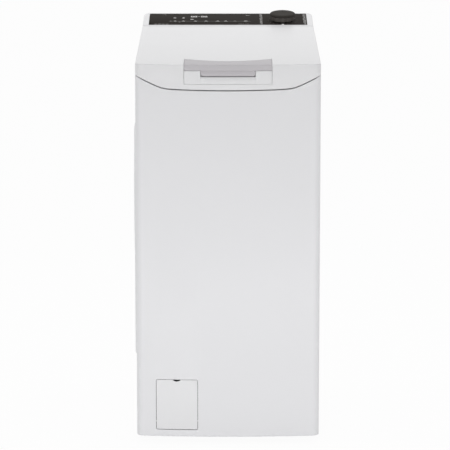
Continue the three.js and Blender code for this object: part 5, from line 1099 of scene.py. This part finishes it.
def build_drum():
    """The perforated shell around its door opening, its rims and its ends with pressed rings."""
    low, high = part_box("drum_shell")
    axis, radius = span(low.z, high.z)[0], span(low.y, high.y)[1] - DRUM_SHEET / 2
    half = span(low.x, high.x)[1] - DRUM_SHEET / 2
    opening = FLAP_ANGLE + 3.7 * MM / radius

    def point(radius, angle, x):
        """A point on the drum: the angle goes from the top towards the back."""
        return x, radius * sin(angle), axis + radius * cos(angle)

    skin = [perforated(opening, 2 * pi - opening, half, radius, point)]
    angles = np.linspace(-opening, opening, 17)
    ends = []
    sinks = (  # share of the radius, and how deep there in quarters of a millimetre
        (1, 0), (0.985, 3), (0.94, 3), (0.92, 0), (0.62, 0), (0.6, -4), (0.3, -4), (0.28, 0),
        (0.12, 0), (0.02, 0),
    )
    knuckles = []
    for side in SIDES:
        edges = (FLAP_WINDOW, FLAP_WINDOW + 3 * MM, half - DRUM_RIM, half)
        skin.append(loft([[point(radius, a, side * x) for a in angles] for x in edges]))
        rows = []
        for share, sink in sinks:
            x = side * (half - sink * 0.25 * MM)
            rows.append([point(radius * share, 2 * pi * k / 96, x) for k in range(96)])
        ends.append(loft(rows, closed=True))
        hinge = point(radius, side * FLAP_ANGLE, 0)[1:]
        for end in SIDES:
            reach = sorted((end * FLAP_WINDOW, end * (FLAP_WINDOW + 7 * MM)))
            knuckles.append(prism(circle(*hinge, 3.6 * MM, 18), *reach, "x"))
    shell = new_piece("drum_skin", joined(*skin), "drum", STAINLESS, "drum_shell", 40)
    solidify(shell, DRUM_SHEET, 0)
    shade(shell, 40)
    discs = new_piece("drum_ends", joined(*ends), "drum", STAINLESS, sharp=30)
    solidify(discs, DRUM_SHEET * 1.5, 0)
    shade(discs, 30)
    new_piece("drum_knuckles", joined(*knuckles), "drum", STAINLESS)


# ---------------------------------------------------------------- soft pieces and feet


def middle_of(node):
    """Middle of a CAD node's box in plan, about the machine's middle plane, and its corners."""
    low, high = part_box(node)
    return span(low.x, high.x)[0] - MIDDLE, span(low.y, high.y)[0], low, high


def build_spring(node):
    x, y, low, high = middle_of(node)
    mean = span(low.x, high.x)[1] - SPRING_WIRE
    bottom, top = low.z + SPRING_WIRE, high.z - SPRING_WIRE
    turns, steps = 7, 28
    path = []
    for i in range(turns * steps + 1):
        angle = 2 * pi * i / steps
        z = bottom + (top - bottom) * i / (turns * steps)
        path.append((x + mean * cos(angle), y + mean * sin(angle), z))
    coil = new_piece(node + "_coil", swept(path, SPRING_WIRE, 10), SOFT, STEEL, node, 50)
    bend(coil)


def throat(inset_x, inset_y, grow, centre_y):
    """The loading mouth's outline: the gasket's box drawn in, then grown by millimetres."""
    low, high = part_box("mouth_gasket")
    half_x = span(low.x, high.x)[1] - inset_x + grow * MM
    half_y = span(low.y, high.y)[1] - inset_y + grow * MM
    return rounded(half_x, half_y, THROAT_CORNER + grow * MM, 0, centre_y, 8)


def build_gasket():
    """The mouth's rubber bellows, from the deck's throat down to the tub's collar."""
    low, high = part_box("mouth_gasket")
    middle = span(low.y, high.y)[0]
    outer = [
        (0, 2.6), (0.10, 2.6), (0.16, 4.5), (0.26, 10.4), (0.34, 11), (0.42, 10.2), (0.50, 4.6),
        (0.56, 4.2), (0.62, 4.8), (0.70, 10.2), (0.77, 11), (0.84, 10.8), (0.91, 9.9),
        (0.95, 9.5), (1, 9.5),
    ]
    inner = [(share, out - 2.2) for share, out in reversed(outer)]
    rows = []
    for share, out in outer + inner + outer[:1]:
        z = low.z + (high.z - low.z) * share
        rows.append([(x, y, z) for x, y in throat(GASKET_FOLD, GASKET_FOLD, out, middle)])
    bellows = loft(rows, closed=True)
    gasket = new_piece("mouth_bellows", bellows, SOFT, RUBBER_GREY, "mouth_gasket", 50)
    bend(gasket)


def build_mouth_rim():
    """The raised lip around the loading opening, on the sloping deck."""
    section = (
        (9, -0.5), (8.6, 0.6), (7, 2.2), (4.6, 2.9), (2.6, 2.9), (1.2, 2.2), (0.6, 0.8),
        (0.6, -0.5), (9, -0.5),
    )
    rows = []
    for grow, lift in section:
        outline = throat(4 * MM, 6 * MM, grow, 0)
        rows.append([(x, y, lid_top(y) - DECK_DROP + lift * MM) for x, y in outline])
    new_piece("mouth_rim", loft(rows, closed=True), "cabinet", WHITE_DECK, sharp=60)


def build_liner_beads():
    """Stiffening beads pressed into the lid's liner, to both sides of the dispenser."""
    low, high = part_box("lid_liner")
    middle = span(low.y, high.y)[0]
    beads = []
    for x in (-124, -144, -164, 124, 144, 164):
        rows = []
        for wide, drop in ((4, 0.2), (3.4, -0.9), (2.2, -1.8), (0.8, -2.2)):
            outline = rounded(wide * MM, (146 + wide) * MM, 0.98 * wide * MM, x * MM, middle)
            rows.append([(a, b, lid_top(b) - LINER_DROP + drop * MM) for a, b in outline])
        beads.append(capped(rows))
    new_piece("lid_liner_beads", joined(*beads), "lid", WHITE_PLASTIC, sharp=60)


def build_sump_hose():
    """The short bellows hose from the tub's outlet down to the pump."""
    x, _, low, high = middle_of("sump_hose")
    radius = span(low.x, high.x)[1]
    lean = (high.y - low.y) - 2 * radius
    path = []
    for t in np.linspace(0, 1, 61):
        path.append((x, low.y + radius + lean * smooth(t), low.z + (high.z - low.z) * t))
    hose = swept(path, radius, 24, 2.4 * MM, 9 * MM)
    hose = new_piece("sump_bellows", hose, SOFT, RUBBER_BLACK, "sump_hose", 40)
    bend(hose)


def build_foot(number):
    node, body = f"levelling_foot_{number}", f"foot_{number}"
    x, y, low, high = middle_of(node)
    radius = span(low.x, high.x)[1]
    side = ((-3, 0), (-1, 0.6), (0, 2), (0, 5), (-1, 5.6), (0, 6.2), (-0.4, 8), (-2, 9.6), (-4, 10))
    pad = from_mm(side, radius)
    stud = [(5 * MM, 9.8 * MM)]
    for k in range(24):
        stud += [(5 * MM, (18 + k) * MM), (4.5 * MM, (18.5 + k) * MM)]
    stud += [(4.4 * MM, high.z)]
    nut = prism(circle(x, y, 10 * MM, 6), 9.9 * MM, FLOOR_GAP + 1.2 * MM)
    new_piece(node + "_pad", turned(pad, (x, y, 0)), body, RUBBER_BLACK, node, 40)
    new_piece(node + "_stud", joined(turned(stud, (x, y, 0), sides=24), nut), body, STEEL)


# ---------------------------------------------------------------- everything

build_front_panel()
build_side_panel(-1, "side_panel_left")
build_side_panel(1, "side_panel_right")
build_rear_panel()
build_lid()
build_handle()
build_surround()
build_console()
build_fascia()
build_prints()
build_knob()
build_filter_door()
build_drum()
for corner in ("front_left", "front_right", "rear_left", "rear_right"):
    build_spring("tub_spring_" + corner)
for number in range(1, 5):
    build_foot(number)
build_gasket()
build_sump_hose()
build_mouth_rim()
build_liner_beads()

for node, body, material, width in (
    ("top_frame", "cabinet", WHITE_DECK, 1.2),
    ("base_tray", "cabinet", DARK_PLASTIC, 0.8),
    ("lid_liner", "lid", WHITE_PLASTIC, 0.8),
    ("detergent_dispenser", "lid", DISPENSER, 0.7),
    ("filter_cap", "pump_cap", DARK_PLASTIC, 0.8),
    ("door_lock", "cabinet", DARK_PLASTIC, 0.5),
    ("inlet_valve", "cabinet", WHITE_PLASTIC, 0.5),
    ("cord_gland", "cabinet", RUBBER_BLACK, 0.5),
    ("drum_flap_front", "flap_front", STAINLESS, 0.25),
    ("drum_flap_rear", "flap_rear", STAINLESS, 0.25),
    ("flap_catch", "catch", STAINLESS, 0.3),
    ("counterweight_front", "tub", CONCRETE, 3),
    ("counterweight_rear", "tub", CONCRETE, 3),
):
    refined(node, body, material, width * MM)

# What is left shows its CAD shape.
for material, *nodes in (
    (DARK_PLASTIC, "pressure_switch", "damper_cylinder_front", "damper_cylinder_rear"),
    (BOARD, "control_board"),
    (TUB_PLASTIC, "tub_half_left", "tub_half_right", "drain_pump_housing"),
    (TUB_PLASTIC, "drum_lifter_front", "drum_lifter_rear"),
    (STAINLESS, "heating_element", "drum_bearing_left", "drum_bearing_right"),
    (STAINLESS, "lid_hinge_pin_left", "lid_hinge_pin_right"),
    (STEEL, "drum_shaft_left", "drum_shaft_right", "motor_rotor"),
    (STEEL, "damper_rod_front", "damper_rod_rear"),
    (CAST, "drum_pulley", "drive_motor", "drain_pump_motor"),
    (RUBBER_BLACK, "drive_belt", "inlet_hose"),
    (RUBBER_GREY, "drain_hose"),
):
    for node in nodes:
        paint(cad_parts[node].data, material)

# ---------------------------------------------------------------- room, lights and camera


def seen_or_lit(tree, seen, lit):
    """seen for camera, glossy and transmission rays, lit for those that light the object."""
    rays = add_node(tree, "LightPath", {})
    direct = rays["Is Camera Ray"]
    for kind in ("Is Glossy Ray", "Is Transmission Ray"):
        direct = add_node(tree, "Math", {0: direct, 1: rays[kind]}, use_clamp=True)[0]
    inputs = {0: direct, 1: seen - lit, 2: lit}
    return add_node(tree, "Math", inputs, operation="MULTIPLY_ADD")[0]


def build_floor(half=60):
    """A white sweep that shows as plain white and keeps a faint shadow under the object."""
    mesh = bpy.data.meshes.new("floor")
    corners = [(x, y, 0) for x, y in rectangle(-half, half, -half, half)]
    mesh.from_pydata(corners, [], [(0, 1, 2, 3)])
    linked("floor", mesh)
    paper = bpy.data.materials.new("white sweep")
    paper.use_nodes = True
    tree = paper.node_tree
    tree.nodes.clear()
    diffuse = add_node(tree, "BsdfDiffuse", {"Color": (0.86, 0.86, 0.86, 1)})[0]
    glow = add_node(tree, "Emission", {"Color": (1, 1, 1, 1), "Strength": 1.0})[0]
    inputs = {"Fac": seen_or_lit(tree, SWEEP_GLOW, 0.0), 1: diffuse, 2: glow}
    add_node(tree, "OutputMaterial", {"Surface": add_node(tree, "MixShader", inputs)[0]})
    mesh.materials.append(paper)


def build_world():
    world = bpy.data.worlds.new("studio")
    bpy.context.scene.world = world
    world.use_nodes = True
    tree = world.node_tree
    light = tree.nodes["Background"].inputs
    light["Color"].default_value = (1, 1, 1, 1)
    tree.links.new(seen_or_lit(tree, 1.0, SKY_LIGHT), light["Strength"])


def lamp(name, place, target, size, watts, mirrored=True):
    light = bpy.data.lights.new(name, "AREA")
    light.shape = "RECTANGLE"
    light.size, light.size_y = size
    light.energy = watts
    obj = linked(name, light)
    obj.location = place
    obj.rotation_euler = (Vector(target) - Vector(place)).to_track_quat("-Z", "Y").to_euler()
    obj.visible_glossy = mirrored


build_floor()
build_world()
lamp("overhead", (0, 0.62, 2.05), (0, 0, 0.8), (2.2, 0.8), 7.9, mirrored=False)
lamp("front_left", (-2.2, -3.2, 1.5), (0, 0, 0.4), (1.6, 1.6), 6.1)
lamp("front_right", (2.4, -3.4, 1.5), (0, 0, 0.4), (1.6, 1.6), 4.3)
lamp("low_front", (0, -1.5, 0.07), (0, 0, 0.06), (2.4, 0.12), 5.5, mirrored=False)

lens = bpy.data.cameras.new("camera")
lens.lens = 187.38
lens.sensor_width = 36
lens.shift_x = -0.00667
lens.clip_end = 200
camera = linked("camera", lens)
camera.location = (MIDDLE, -5.2306, 1.3058)
camera.rotation_euler = (radians(80.512), 0, 0)
bpy.context.scene.camera = camera
bpy.context.scene.view_settings.view_transform = "Standard"
